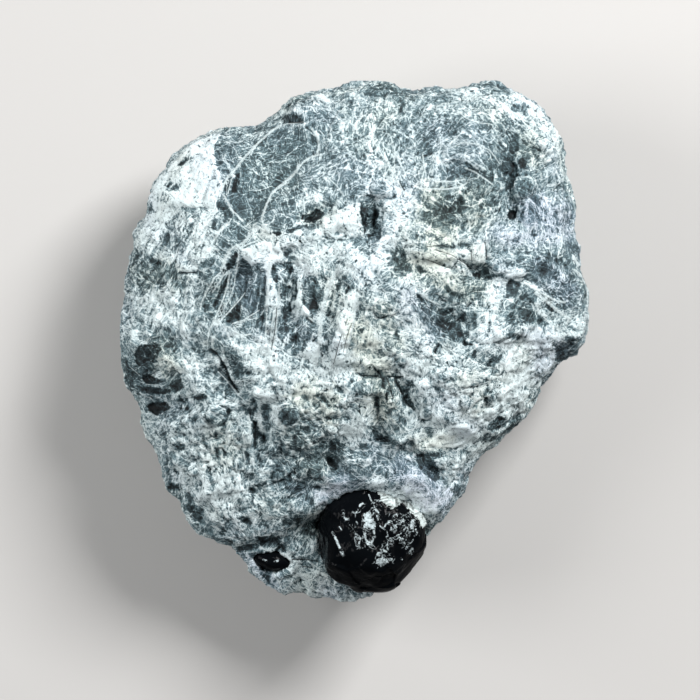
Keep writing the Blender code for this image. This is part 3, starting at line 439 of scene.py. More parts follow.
# Panes of rock with firm edges, large ones first, and two patches of painted shade: tone, and the corners of the
# outline
PANELS = (
    (0.95, (-27.4, 38.4), (-27.2, 36.4), (-26.2, 33.8), (-25.6, 31.4), (-26, 29), (-27, 26.8), (-31, 27),
     (-36, 27.2), (-39.6, 27), (-40.8, 29.4), (-38.6, 33), (-36, 36.6), (-32, 39.6), (-27.6, 41.6)),
    (0.45, (-27.1, 40.2), (-26, 41.8), (-22, 42.8), (-18, 43.2), (-15.4, 43.4), (-18, 40.4), (-20.6, 37.4),
     (-23.2, 34.6), (-25.2, 32), (-26.2, 33.8), (-27.2, 36.4), (-27.4, 38.4)),
    (0.38, (-15, 42.6), (-9, 43.2), (-7.4, 41.4), (-6.8, 39.4), (-7.4, 37.6), (-10.4, 35.6), (-13.2, 32.6),
     (-15.6, 30.4), (-17.2, 27.6), (-17.6, 24.6), (-20.6, 23.6), (-23.6, 26), (-24.4, 29), (-24.4, 32),
     (-22.4, 35), (-20, 38), (-17.4, 41)),
    (0.4, (-26, 22.4), (-23, 23.6), (-21, 22), (-22, 20), (-24, 18.4), (-26.6, 18), (-27.4, 19.4), (-27, 21)),
    (0.47, (-29.6, 16.2), (-27.4, 17.2), (-26, 15.6), (-27, 13.6), (-28.4, 11), (-31.4, 11), (-30.4, 13.4)),
    (0.45, (-44.6, 17), (-42.6, 18), (-39.6, 17.6), (-38.4, 16), (-35, 15.4), (-34.6, 13), (-36.4, 11.4),
     (-40, 11), (-44, 11), (-45.2, 13.6)),
    (0.39, (33, 13), (35.6, 14.4), (38, 16.4), (40, 18), (42, 16), (44.2, 13.4), (45, 10.8), (45, 8), (43.6, 7),
     (42.4, 8.4), (40, 8.6), (37, 10.8), (34.6, 12.4)),
    (0.94, (-5.6, 24.6), (-3.4, 26.2), (-1.4, 26.9), (0.4, 26.3), (1.3, 24.4), (2, 21.4), (-1, 20.6), (-3.6, 20.6),
     (-5.6, 22.6)),
    (0.96, (-22, 18.2), (-20, 19.4), (-17.4, 20.2), (-14.4, 19.6), (-13.6, 17.8), (-13.7, 16.4), (-15.4, 15.9),
     (-16.2, 14), (-15.9, 11.6), (-14.6, 10), (-14.6, 8), (-15.2, 6.8), (-15.9, 7.6), (-17, 7), (-17, 9),
     (-17, 14.4), (-17.4, 15.9), (-18.6, 15.9), (-19.8, 15.3), (-20.8, 16.3), (-21.6, 17.2)),
    (0.38, (-21.9, 17.1), (-20.8, 16.3), (-19.8, 15.3), (-18.6, 15.9), (-17.5, 15.9), (-17.1, 13), (-17.1, 9),
     (-17.5, 6.8), (-20, 5.2), (-23.6, 3.9), (-25.8, 4.3), (-24, 6.6), (-22.7, 8.8), (-22.9, 11), (-22.6, 14),
     (-22.2, 16)),
    (0.95, (-10.9, 13), (-9.8, 13.8), (-9.9, 8.4), (-8.8, 6.9), (-8, 5.2), (-9.8, 5.9), (-11, 5), (-11.8, 5.4),
     (-12.2, 7.4), (-11.8, 8.4), (-10.8, 9.2)),
    (0.95, (0.4, 10.6), (0.9, 8), (0.4, 4.4), (-0.6, 0.8), (-1.6, -3.6), (-4.8, -4.6), (-3.9, -0.8), (-3, 3),
     (-2.4, 6), (-1.2, 9.2)),
    (0.12, (-25, 15.2), (-24, 17), (-22.9, 18.2), (-22.5, 17.4), (-23.3, 15.4), (-24.4, 14.4)),
    (0.14, (-24.3, 13.8), (-25.2, 12.6), (-26.4, 10), (-27.6, 7.4), (-27, 7.2), (-25.9, 9.4), (-25, 11.4),
     (-24.4, 13)),
    (0.28, (-19, 4.8), (-17.4, 6.4), (-17.3, 5), (-18, 3.4), (-19.2, 3.2)),
    (0.22, (-15.9, 15.2), (-15.4, 15.6), (-15, 14), (-14.4, 12.9), (-14.6, 12), (-15.6, 12.2), (-15.9, 13.6)),
    (0.48, (-17, 7), (-16, 7.6), (-15.7, 5.4), (-16.5, 2), (-17, 1.6), (-17.2, 4.6)),
    (0.17, (-13.6, 16.2), (-12.4, 16.1), (-11.7, 15.4), (-11.6, 14.1), (-12.4, 13.7), (-13.4, 14.1)),
    (0.5, (-13.6, 13.4), (-11.2, 12.6), (-10.9, 11), (-10.9, 9.2), (-12.2, 8.2), (-12.9, 6.6), (-13.1, 4.7),
     (-13.9, 4.6), (-13.8, 7), (-13.9, 10)),
    (0.37, (-8.6, 14), (-7.4, 13.2), (-6.5, 11.8), (-6.1, 10), (-6.1, 8.2), (-6.8, 6.2), (-7.8, 5.6), (-8.8, 7),
     (-9.9, 8.2), (-9.9, 10.2), (-9.4, 12.4)),
    (0.43, (-10, 5.6), (-8.6, 4.8), (-7.6, 4.2), (-7.8, 2), (-8.8, 0), (-9.8, -1.8), (-11.2, -2.6), (-12.7, -0.6),
     (-12.2, 1.4), (-12, 3.4), (-11, 4.4)),
    (0.38, (-14.2, 3.8), (-13, 4.3), (-12.6, 2.6), (-13.4, 0.8), (-14.4, 0.6), (-14.6, 2.4)),
    (0.38, (-1.6, 13.6), (-0.2, 13.2), (0.1, 11.6), (-0.6, 10.2), (-1.8, 9.4), (-2.8, 9.2), (-3.3, 10.6),
     (-3, 12.4)),
    (0.47, (-5.8, 5.8), (-4.6, 6.4), (-3.2, 5.6), (-3.2, 3.4), (-3.8, 1), (-4.8, 0), (-5.8, 1.4), (-6, 3.8)),
    (0.32, (-6, -0.2), (-4.8, -0.2), (-4.8, -1.2), (-5.8, -2)),
    (0.36, (2.2, 10.4), (3, 11.3), (3.7, 10.6), (3.6, 8.8), (3, 7.8), (2.3, 8.6)),
    (0.5, (0.2, 20.6), (2.2, 21), (3.4, 19), (5.4, 20), (4.6, 17.8), (3, 17.4), (1.6, 18.2), (0.2, 19.2)),
    (0.33, (1.4, 27.1), (2.8, 27.6), (4.6, 27.2), (5.3, 26), (5.1, 24.6), (5.7, 22.6), (5.6, 21), (4.6, 19.6),
     (3.4, 19), (2.3, 19.8), (2.2, 22), (1.8, 24)),
    (0.08, (1.5, 27), (3, 27.2), (3.2, 24.6), (3, 22.4), (2.3, 21.6), (2.1, 23.6), (1.7, 24.6)),
    (0.14, (4.2, 26.8), (5.1, 26), (4.7, 24.4), (4.3, 22.8), (3.8, 24.4)),
    (0.1, (2.9, 21.6), (3.8, 21.5), (3.8, 20.4), (3, 20.4)),
    (0.13, (-10.3, 24.3), (-9.8, 25.4), (-8.2, 25.4), (-7.3, 26.6), (-6.3, 26.3), (-5.4, 25.5), (-6.2, 24.6),
     (-7.6, 23.9), (-9, 23.8)),
    (0.3, (-13.4, 22.2), (-10.4, 23.4), (-9, 23.3), (-10.2, 22.5), (-12.6, 21.6)),
    (0.12, (-15.8, 21.9), (-14.6, 22.2), (-13.8, 21.7), (-14.8, 21.2)),
    (0.2, (-25.6, 30.2), (-25, 32.2), (-24.2, 32.9), (-24.2, 31.2), (-24.8, 30)),
    (0.1, (-23.9, 30), (-23.8, 31.4), (-22.9, 33.6), (-22.3, 34), (-22.3, 32), (-22.9, 29.8)),
    (0.4, (-26.3, 28), (-25, 27.4), (-24, 26.4), (-24, 25.2), (-25.4, 25.2), (-26.3, 26.6)),
    (0.32, (-28, 22.6), (-27.4, 24.8), (-26.6, 24.6), (-27, 22.2)),
    (0.5, (9.2, 20.6), (10.6, 17.4), (11.8, 14.2), (10, 13.2), (6.4, 13.6), (7.6, 17.4)),
    (0.32, (30.4, 12.2), (33, 12.2), (32.6, 9.4), (30.2, 9)),
    (0.28, (32.4, 7), (34.2, 7.2), (36, 6), (35.8, 4), (33.4, 4), (32.6, 5.2)),
    (0.12, (38.3, 8), (39.8, 6.8), (39.6, 6.2), (38.1, 7.2)),
    (0.32, (40.4, -0.6), (43, 0.4), (45, 0.2), (44.4, -1.6), (42.4, -3.2), (40.2, -3.6)),
    (0.05, (30.4, 25.4), (31.2, 26.4), (32.4, 26.3), (32.3, 24.8), (31, 24.5)),
    (0.06, (23.6, 13.9), (25, 14.3), (25.4, 13.2), (23.8, 13)),
    (0.84, (23.2, 15.4), (23, 17.4), (23.7, 20), (25.2, 20.6), (26.2, 19.2), (25.9, 17.2), (26.4, 15.8), (24.8, 14.9)),
    (0.3, (-14, 44.2), (-12.8, 45.6), (-11.4, 45.4), (-9.4, 44.2), (-10, 43.5), (-13.4, 43.6)),
    (0.36, (2, 49.4), (3.4, 51.6), (6, 52), (9, 51.4), (8.4, 49.6), (6, 48.8)),
    (0.44, (12.2, 37.4), (13.2, 40), (13.6, 42), (14.2, 42.8), (16, 42.8), (16.8, 41), (15.8, 39), (15.4, 37),
     (13.6, 36.8)),
    (0.44, (18, 43), (19.6, 43.8), (21, 43), (20.4, 41.4), (19, 40.6), (18, 41.6)),
    (0.46, (10.4, 43.4), (11.8, 45.2), (13.2, 44.6), (13, 43.2)),
    (0.42, (16.4, 44.8), (18, 45.8), (19, 45.2), (17, 44.2)),
    (0.25, (28.2, 33.8), (29.4, 35.4), (30, 38.6), (31, 40.2), (32.6, 40.6), (33, 38.6), (32, 36.4), (32, 33),
     (31.2, 30.6), (30.4, 30.4), (29.4, 32.6)),
    (0.34, (30, 41.6), (31, 42.6), (32.6, 42), (33.2, 40.6), (31.6, 40.4), (30.2, 40.6)),
    (0.36, (28.4, 44.8), (30.6, 45.4), (32.6, 44.4), (33, 43), (31, 43.2), (29, 43)),
    (0.08, (32.6, 36.4), (33.6, 37), (34.4, 36), (34.4, 34.6), (33.2, 34.6)),
    (0.28, (21, 35.6), (22.4, 35.8), (24, 34.6), (26.4, 33.6), (27.8, 33.8), (28.2, 32.4), (26.6, 31.8),
     (24.6, 33), (22.6, 34.2)),
    (0.31, (15.8, 25.4), (16.2, 28), (18.4, 29.2), (21, 29.4), (22.8, 28.2), (22.4, 26.2), (20.4, 25.2),
     (18.8, 24.4), (16.8, 24)),
    (0.4, (22.4, 30.4), (23.4, 32), (25, 32.4), (26.2, 31), (26, 29), (24.6, 28.2), (23, 29)),
    (0.34, (32.4, 30.6), (33, 32.2), (34.4, 32.6), (35.8, 31.6), (35.8, 30), (34.6, 28.8), (33, 29)),
    (0.92, (-22.6, -0.6), (-20, -0.4), (-17.6, 0), (-15, -0.4), (-14.6, -3), (-15.4, -5.4), (-18.4, -5.6),
     (-20.6, -4.2)),
    (0.36, (-25.2, -1.6), (-23.4, -1.2), (-22, -2.4), (-21.4, -4.6), (-21.6, -6.6), (-22.8, -7.2), (-24, -5.2),
     (-24.8, -3.4)),
    (0.17, (-26, -2.8), (-25.2, -4), (-24.6, -5.2), (-23.5, -7.8), (-22.2, -9.8), (-22.7, -9.8), (-24.1, -7.6),
     (-25.2, -5.4), (-25.9, -3.9)),
    (0.13, (-43.2, -1.8), (-42.4, -0.4), (-41, 0), (-38.6, 0.2), (-37.8, -1), (-38.6, -2.4), (-39.8, -4),
     (-41.4, -4.8), (-43, -3.8)),
    (0.22, (-46.2, -1.8), (-46.6, -4.2), (-45.4, -7), (-44, -8.4), (-43.4, -7.2), (-44.1, -5.2), (-44.6, -3.8),
     (-45.6, -3.2)),
    (0.15, (-42, -6), (-39.7, -6.5), (-37.4, -7.6), (-39, -8), (-41.4, -7.9)),
    (0.18, (-43.6, -8.2), (-41.4, -8.4), (-38.4, -8.6), (-36, -9), (-36.2, -9.8), (-39.4, -10), (-42.4, -9.6)),
    (0.22, (-36.2, -8.2), (-35.4, -7), (-34, -6.8), (-33.2, -8.4), (-34.4, -9.4), (-35.8, -9.6)),
    (0.05, (-41, -12.2), (-39.4, -11.6), (-36.6, -11.6), (-36, -12.8), (-37.4, -13.4), (-39, -14.2),
     (-40.4, -13.4)),
    # Painted shadow: the same dark crescent where shade falls
    (0.2, (-32, -10.2), (-30.6, -11.2), (-28.6, -10.6), (-29, -9.8), (-30.8, -10.3)),
    # Painted shade: the dark underside of the ball at (-27, -14.2)
    (0.17, (-27, -15.9), (-25.4, -16.4), (-24.6, -14.6), (-25.4, -13), (-26.2, -12.8), (-26, -14.6)),
    (0.26, (-20, -15), (-18.8, -15.2), (-18.4, -17.4), (-19, -19.4), (-19.6, -18.6), (-19.9, -17)),
    (0.52, (-18.2, -12.8), (-17.2, -12.6), (-16.2, -14.6), (-16.2, -17), (-17.2, -17.8), (-17.8, -16)),
    (0.24, (15.8, 5.4), (17, 7), (19.6, 7.2), (20.2, 5.2), (20.4, 3.6), (21.4, 5), (22.2, 6.2), (22.1, 4.6),
     (21.2, 2.6), (22.6, 0.6), (20.4, 0.2), (18.4, 1.8), (17, 3.6)),
    (0.14, (21.8, 0.8), (23.4, 0), (23.4, -0.3), (21.6, -0.3)),
    (0.3, (23.6, -1), (24.4, -1.2), (24.4, -2.4), (23.6, -3.2)),
    (0.34, (26, -3.8), (28.8, -3.8), (29, -2), (27.8, -2.2)),
    (0.3, (10, -9), (11.2, -8.8), (11.2, -10), (12.4, -12.6), (12.2, -13.2), (11, -12.2), (9.6, -11.2)),
    (0.32, (27, -16.2), (28.6, -14.2), (30.4, -14.6), (30.2, -16.4), (28.6, -17.2)),
    (0.98, (16.4, -18), (18.4, -16.4), (22.8, -15.6), (24, -17.4), (23, -19.4), (20, -20.6), (16.6, -20.4),
     (14.6, -19.6)),
    (0.26, (12.6, -21.8), (15, -21.6), (17.6, -21.4), (17.8, -22.4), (16, -22.8), (17, -24.6), (17.4, -26.6),
     (16.4, -27.4), (15, -26.4), (13.6, -25), (12.8, -23.6)),
)
# Round perlite balls: middle, radius, how far they stand out, tone, and tone of the ring round them
BALLS = (
    (5.3, 30.6, 1.9, 0.5, 0.42, 0.9),
    (5.8, 30.9, 0.4, 0.1, 0.2, 0.42),
    (24.2, 30.5, 2, 0.7, 0.38, 0.72),
    (21.9, 27.4, 1, 0.3, 0.2, 0.42),
    (25, 26.2, 1, 0.4, 0.36, 0.74),
    (28.4, 31, 1.1, 0.5, 0.4, 0.74),
    (28.4, 14.8, 0.9, 0.4, 0.36, 0.72),
    (30.8, 15.2, 0.9, 0.4, 0.34, 0.7),
    (27, 15.6, 0.8, 0.3, 0.38, 0.7),
    (34.1, 30.9, 1.9, 0.7, 0.26, 0.66),
    (36.6, 28.6, 1, 0.4, 0.42, 0.72),
    (32.6, 47, 1.1, 0.3, 0.4, 0.8),
    (29.6, 38.6, 1, 0.4, 0.36, 0.66),
    (33.6, 43, 1.2, 0.4, 0.34, 0.66),
    (-12.4, -14.4, 1.8, 0.7, 0.18, 0.62),
    (-11, -19.9, 1.4, 0.5, 0.22, 0.58),
    (-3.9, -23.4, 1.3, 0.4, 0.16, 0.6),
    (-7, -25.5, 1.5, 0.5, 0.28, 0.6),
    (-3.8, -17, 0.9, 0.4, 0.62, 0.8),
    (-7.4, -18.4, 1.1, 0.4, 0.3, 0.62),
    (-1, -21.6, 1, 0.4, 0.3, 0.62),
    (-15.6, -21.4, 1.2, 0.4, 0.34, 0.62),
    (-9, -12.4, 1, 0.4, 0.46, 0.72),
    (-14.6, -26, 1.1, 0.4, 0.34, 0.6),
    (-27, -14.2, 1.9, 0.9, 0.44, 0.66),
    (-11.4, -28.6, 1.6, 0.4, 0.26, 0.56),
    (-22.6, -24, 1.1, 0.4, 0.44, 0.74),
    (-30.6, -18.4, 1.2, 0.5, 0.5, 0.76),
    (-34.6, -16.6, 1.3, 0.5, 0.44, 0.7),
    (-36.8, -5, 1.5, 0.5, 0.6, 0.7),
    (18, -6.6, 1, 0.4, 0.42, 0.78),
    (20.1, -6.4, 0.9, 0.3, 0.46, 0.8),
    (5.7, 6.2, 1.4, 0.4, 0.42, 0.7),
    (9.4, -4, 1.1, 0.4, 0.46, 0.74),
    (14.6, -13.6, 1.2, 0.4, 0.46, 0.76),
    (22.4, -11.4, 1.1, 0.4, 0.5, 0.8),
    (20.8, -28.2, 1.1, 0.3, 0.36, 0.6),
)
# White veins: half width, then the points
VEINS = (
    # upper left
    (0.32, (-14.4, 43.4), (-16.3, 42), (-18, 40.5), (-20, 38.4), (-21.9, 36.2), (-23.2, 34.4),
     (-24.7, 32.9), (-25.4, 31.6), (-25.8, 30.2)),
    (0.15, (-22.3, 36), (-23, 34.3), (-23.9, 32.4), (-24.4, 30.6), (-24.6, 29.6)),
    (0.15, (-13.3, 43.6), (-9.6, 43.9)),
    (0.32, (-6.3, 37.4), (-8.2, 36.9), (-9.6, 36), (-10.6, 34.8), (-11.4, 33.7), (-13, 32.3),
     (-14.8, 30.8), (-16, 29.6), (-16.8, 27.8), (-17.5, 26), (-17.9, 24.6), (-17.4, 23.2), (-16.4, 22)),
    (0.15, (-11, 33.8), (-13.4, 31.5), (-15, 30.3)),
    (0.35, (-8, 42.5), (-7, 41), (-6.6, 39), (-7, 37.6)),
    (0.15, (-5, 33), (-3, 31), (-1.6, 29)),
    (0.28, (-25.6, 29.5), (-24.6, 28), (-24, 26.6), (-22.6, 25.2), (-21.5, 24.2)),
    (0.22, (-26, 22.8), (-25, 23.6), (-24.2, 24.1)),
    (0.28, (-27.6, 20), (-26.8, 21.2), (-25.9, 22.5)),
    # fan of veins towards the lower left
    (0.35, (-18.2, 22.8), (-19.4, 22.3), (-20.1, 21.6), (-20.9, 20.5), (-21.8, 19.7), (-23, 19.2),
     (-24, 18.6), (-24.7, 17.2), (-25.2, 15.8), (-25.6, 14.9)),
    (0.26, (-22.4, 18.2), (-22.4, 17), (-22.7, 15.5), (-22.9, 14)),
    (0.26, (-22.2, 18.8), (-20.6, 19.6), (-18.6, 20.4)),
    (0.26, (-24.4, 14.4), (-25.6, 13.2), (-26.6, 11.6), (-27.6, 10.2)),
    (0.26, (-26, 14), (-27.2, 13), (-27.9, 11.6), (-29, 9.8), (-29.8, 8.2), (-30, 6.8)),
    (0.24, (-24.2, 14), (-24.6, 11.6), (-25.4, 9), (-26.6, 6.2), (-27.6, 4), (-28.4, 2.2)),
    (0.14, (-23.1, 13.8), (-23.3, 11.6), (-24, 9.6), (-24.4, 8.6), (-26, 5.6), (-27.2, 3.8)),
    (0.2, (-21.2, 10), (-22.8, 8), (-24.3, 6.4), (-25.8, 4.8), (-27.2, 3.6)),
    (0.15, (-20, 4.8), (-22, 4.2), (-23.6, 4)),
    (0.2, (-18.4, 6.6), (-20, 5.6), (-21.6, 4.6), (-23.4, 4.1)),
    (0.28, (-23.5, 2.6), (-21.8, 1.6), (-20, 1.9)),
    (0.22, (-25.6, 3.4), (-23.6, 3.2), (-21.8, 3.5)),
    (0.15, (-28.2, 2.4), (-28.6, 0.4), (-28.5, -1)),
    # upright veins
    (0.44, (-16.4, 15.6), (-16.5, 12), (-16.7, 9), (-16.9, 6.6)),
    (0.22, (-16.9, 6), (-17, 3), (-17.2, 0.5)),
    (0.15, (-14.3, 10), (-14.3, 8)),
    (0.22, (-14.9, 5.6), (-15, 3), (-15.3, 0.6), (-15.8, -1.5)),
    (0.22, (-15.4, 6.5), (-15.9, 3.5), (-16.1, 1), (-16.5, -1.6), (-17, -3)),
    (0.28, (-17.2, -3), (-17.2, -5.6)),
    (0.28, (-9.9, 6.8), (-8.6, 5.2), (-7.8, 4.6)),
    (0.55, (-2.6, 15), (-4, 12.6), (-4.8, 10.6), (-5.6, 8), (-6.1, 6), (-6.3, 4), (-6.5, 1),
     (-6.9, -2), (-7.4, -5)),
    (0.15, (-3.5, 14), (-4.6, 11.4), (-5.2, 9.4), (-5.7, 7), (-5.9, 5.4)),
    (0.28, (0.8, 10), (0.4, 7), (0.2, 4), (-0.4, 1.6), (-1.2, -1.5)),
    (0.26, (1.4, 12), (1, 9), (1.1, 6.6)),
    (0.24, (-3.2, 14.2), (-1.4, 14.6), (0.4, 13.6), (1.4, 12.2)),
    (0.2, (-14.4, 12), (-14.6, 8.6), (-15, 5), (-15.6, 0.8)),
    # upper right and right
    (0.24, (22.2, 34.6), (23.8, 34), (25.6, 32.8), (27.6, 31.4)),
    (0.26, (15, 30.6), (18, 30.4), (21, 30.8), (22.4, 31.6)),
    (0.2, (16.4, 32), (19.6, 31.9), (22, 32.4)),
    (0.28, (34, 12), (36, 10.8), (38, 9.6), (40, 8.6), (42, 8.2)),
    (0.3, (36, 10), (38, 8.4), (40, 7), (42, 5.8)),
    (0.28, (36, 8), (36.8, 6.4), (38, 5), (39.4, 3.6)),
    (0.45, (38, 8.8), (40.4, 6.6), (43, 5)),
    (0.35, (44.2, 14.6), (45.6, 13.4), (46.6, 11.8), (47, 9), (47.2, 6), (47, 3.6)),
    (0.2, (41.4, 21.6), (41.3, 19.4)),
    (0.35, (43.8, 17.4), (44.4, 16.4), (44.8, 15.6)),
    (0.28, (13.6, 9.8), (15, 8.6), (16.8, 7.8)),
    (0.16, (20.6, 46.2), (22.6, 44.4), (24.8, 43.6), (27, 43.4)),
    (0.14, (19.4, 38.6), (21.6, 39.6), (24.4, 39.4), (27.2, 38), (29, 35.6)),
    (0.14, (16.6, 36), (17.4, 38.8), (17.2, 41.4)),
    (0.2, (3.4, 42.8), (4.4, 39.6), (6.4, 36.4), (8.4, 33), (10, 30)),
    (0.16, (7.6, 40.8), (8.6, 37), (10.4, 33.6)),
    (0.2, (13.4, 31.6), (14.2, 34.4), (13.8, 37.4)),
    # left
    (0.08, (-44.2, -4.6), (-43.2, -5.4), (-42.2, -6.4)),
    (0.12, (-41, -8), (-38, -8.2)),
    (0.18, (-26.6, -5.4), (-25.2, -6.8), (-24, -8.2), (-22.8, -9.8), (-21.4, -11.2)),
    (0.28, (-20.6, -14), (-20.2, -16), (-20.3, -18), (-20.2, -20)),
    (0.24, (-21.6, -20), (-21.6, -21.6), (-21.3, -23)),
    (0.28, (-25, -17), (-24.4, -19.4), (-25.2, -21)),
    # lower end
    (0.28, (-8.4, -33), (-9, -34.6), (-10, -36), (-11.4, -37.6)),
    (0.24, (-18, -40.8), (-16.2, -41.4), (-14.8, -42.4), (-13.6, -43.6), (-12.4, -45), (-10, -46.4),
     (-8.8, -47.6)),
    (0.2, (-17.8, -43.4), (-16.2, -44), (-15.6, -46), (-14.6, -47.8), (-14, -49.4), (-13.6, -50)),
    (0.18, (-14, -46.6), (-14.6, -47.8)),
    (0.28, (-10.6, -46), (-9, -48), (-8.4, -49.6), (-6.6, -50.4), (-4, -51.2), (-1.6, -51.4)),
    (0.15, (-5, -47.6), (-3.4, -48.8), (-3.2, -50)),
    (0.2, (0.6, -10.6), (3.6, -11)),
)
# Black cracks: half width, then the points
CRACKS = (
    (0.18, (-12.5, 44), (-9.7, 43.8)),
    (0.12, (-14.9, 7), (-15.2, 3.6), (-15.6, 0.8), (-16, -1.2)),
    (0.12, (-2.1, 1.8), (-2.8, -0.4), (-3.4, -2.8), (-3.7, -4)),
    (0.1, (-0.2, 4), (-0.8, 2.4), (-1.4, 0.4), (-1.8, -1.6)),
    (0.1, (-1, 5), (-1.4, 3.6)),
    (0.18, (-34, 14), (-31.2, 14.1)),
    (0.15, (26, 20), (26.3, 18), (26.4, 16.6)),
    (0.12, (23.3, 18.6), (23.4, 16.4)),
    (0.1, (16.4, 18.4), (19.6, 17.4), (22.4, 15.6), (23.8, 14.4)),
    (0.1, (14.4, 19), (17.6, 19.4), (19.6, 18.8)),
    (0.1, (14.4, 16.6), (17.6, 15.4), (20, 14.6)),
    (0.13, (-27.4, -1.4), (-26, -2.8), (-25.2, -4.6), (-24.4, -6.4), (-23.6, -7.8)),
    (0.15, (-26, -5), (-25, -6.2), (-23.8, -8), (-22.4, -9.6)),
    (0.12, (-19.4, -15.4), (-19.2, -17), (-19.4, -19), (-19.2, -20.6)),
    (0.14, (0.8, -5.6), (1.6, -6.2), (3.6, -6.3), (5.4, -6.6), (6.6, -7)),
    (0.13, (4.2, -4.6), (5, -5.6), (5.8, -6.6), (6, -8), (6.1, -8.8)),
    (0.14, (6.6, -6.4), (8.6, -6.5), (10, -6.4)),
    (0.24, (6.8, -7), (7.2, -8)),
    (0.15, (8.4, -7.2), (9, -8.4), (9.8, -9.8), (10.4, -11.4), (11.4, -12.4), (12.4, -13)),
    (0.16, (6.9, -8.8), (6.6, -10.2), (6.8, -11)),
    (0.22, (7.4, -8.6), (7.8, -10.4)),
    (0.12, (5, -13.2), (5, -15)),
    (0.22, (22, 0.4), (22.2, -0.1), (23.6, -0.2)),
    (0.2, (16.2, -1.8), (16.4, -1), (16.9, -0.4)),
    (0.26, (20.6, 4.6), (21.4, 5.2), (22, 6)),
    (0.18, (22.4, 7.3), (23.4, 8)),
    (0.18, (-12, -43), (-9, -43), (-6.8, -43.4)),
    (0.16, (-10, -44.4), (-8, -44.6)),
)
# Tints: how strong, half width, then the points
WARM_TINTS = (
    (0.9, 3.4, (16, 28.6), (17, 23), (16.4, 17)),
    (0.7, 2.6, (20.6, 26.6), (24, 29.6), (24, 24.6)),
    (0.8, 2.4, (9.6, 16), (13.4, 15), (20, 11.4), (24.6, 10.4)),
    (0.8, 3, (1.6, 2.6), (3.6, -3), (5.6, -8), (6, -12)),
    (0.6, 2.4, (6, 6.4), (8.6, 0)),
    (0.8, 3, (-10, -10.4), (-4.6, -12.6)),
    (0.7, 2.4, (34.4, 39.6), (36.4, 36.4)),
    (0.7, 2.2, (-36.4, -4), (-37.4, -1)),
    (0.5, 2.6, (-26, -19), (-25, -22)),
    (0.8, 1.6, (-8.4, -36.4), (-6.8, -36.4)),
    (0.5, 2, (-8.6, -24), (-6, -25.6)),
    (0.7, 1.8, (13.4, -20.2), (18, -19.4)),
    (0.5, 2.4, (22.6, -8), (24, -12)),
    (0.5, 1.4, (-8.4, 24.6), (-6, 25.2)),
    (0.5, 1.8, (24, 18.6), (24.6, 16.6)),
    (0.5, 2.6, (-36.6, 14), (-40.6, 13)),
)
LILAC_TINTS = (
    (0.9, 3.6, (36, 26), (41.6, 24.6)),
    (0.8, 1.8, (28.6, 21.4), (35, 21.2), (43, 21.8)),
    (0.7, 1.8, (10.6, 8.8), (13.6, 6), (16.4, 2.6)),
    (0.6, 2.2, (36.8, 0.6), (38.4, -4.4)),
    (0.8, 2.6, (-5.6, -29.6), (-1, -27.8)),
    (0.9, 2.8, (9.6, -24.2), (14, -28), (17.4, -31)),
    (0.7, 1.8, (-22.6, -42.6), (-20.4, -42.8)),
    (0.6, 1.4, (-11.4, -28.6), (-10, -29.4)),
    (0.7, 2.6, (38, 14.6), (42.6, 10.6)),
    (0.6, 1.8, (-21.6, 14), (-20, 8)),
    (0.6, 1.6, (-5.6, -48.4), (-3.4, -49.4)),
    (0.8, 1.6, (-19, -44.4), (-15.8, -47.6)),
    (0.7, 1.6, (41.4, -1), (43, -1.6)),
)
# Streaks: how strong, which way they run in degrees (0 is +X), half width, then the points
STREAKS = (
    (0.9, 55, 4.6, (-42, 22), (-38, 14), (-34, 22)),
    (1, 80, 5, (-24, 10), (-18, 8), (-12, 8), (-4, 8)),
    (0.8, 78, 3.6, (-16, -1), (-6, -2), (0, 2)),
    (0.9, 102, 4.4, (-27, -24), (-25, -31), (-21, -33)),
    (0.8, 52, 2.6, (27.6, -12), (30.6, -13.6)),
    (0.9, -28, 3.4, (14.4, 18.6), (19.6, 16.6), (22, 14.4)),
    (0.7, 30, 3, (36, 9), (40, 6.4)),
    (0.7, 108, 3.4, (5, 38), (8.6, 32)),
    (0.7, 68, 2.6, (33, 5), (35, -5)),
)
# Ground: 1 is knobbly and -1 is smooth, then the half width and the points
GROUND = (
    (1, 8, (-14, -16), (-4, -16), (-4, -24), (-12, -26)),
    (0.8, 7, (-30, -12), (-34, -22)),
    (0.9, 6, (6, -12), (14, -22)),
    (0.9, 5, (22, 28), (32, 30), (34, 38)),
    (0.6, 5, (34, 8), (30, 4)),
    (0.7, 5, (-38, -2), (-40, 6)),
    (0.6, 6, (22, -8), (28, -12)),
    (-1, 3.2, (-8.6, -31.4), (-4, -28), (3, -26.4), (10, -25.6), (15, -29), (17.6, -33.4)),
    (-0.8, 6, (-22, 27), (-16, 34), (-14, 39)),
    (-0.7, 4, (-12, 29), (-6, 34)),
    (-0.6, 4, (-40, 14), (-36, 24)),
    (-0.6, 4, (22, 42), (27, 37)),
    (-0.7, 4, (-22, 14), (-20, 8)),
    (-0.8, 5, (14, -14), (22, -18)),
    (-0.6, 3.5, (0, -17), (-4, -21)),
    (-0.7, 3, (-8, 10), (-11, 2)),
    (-0.5, 4, (36, 14), (42, 12)),
    (-0.8, 2.6, (-18, -12), (-17, -17)),
    (-0.6, 3, (-6, -47), (-4, -49)),
    (-0.6, 2.4, (3, -12), (-1, -18)),
    (-0.5, 5, (-34, 34), (-31, 26)),
)
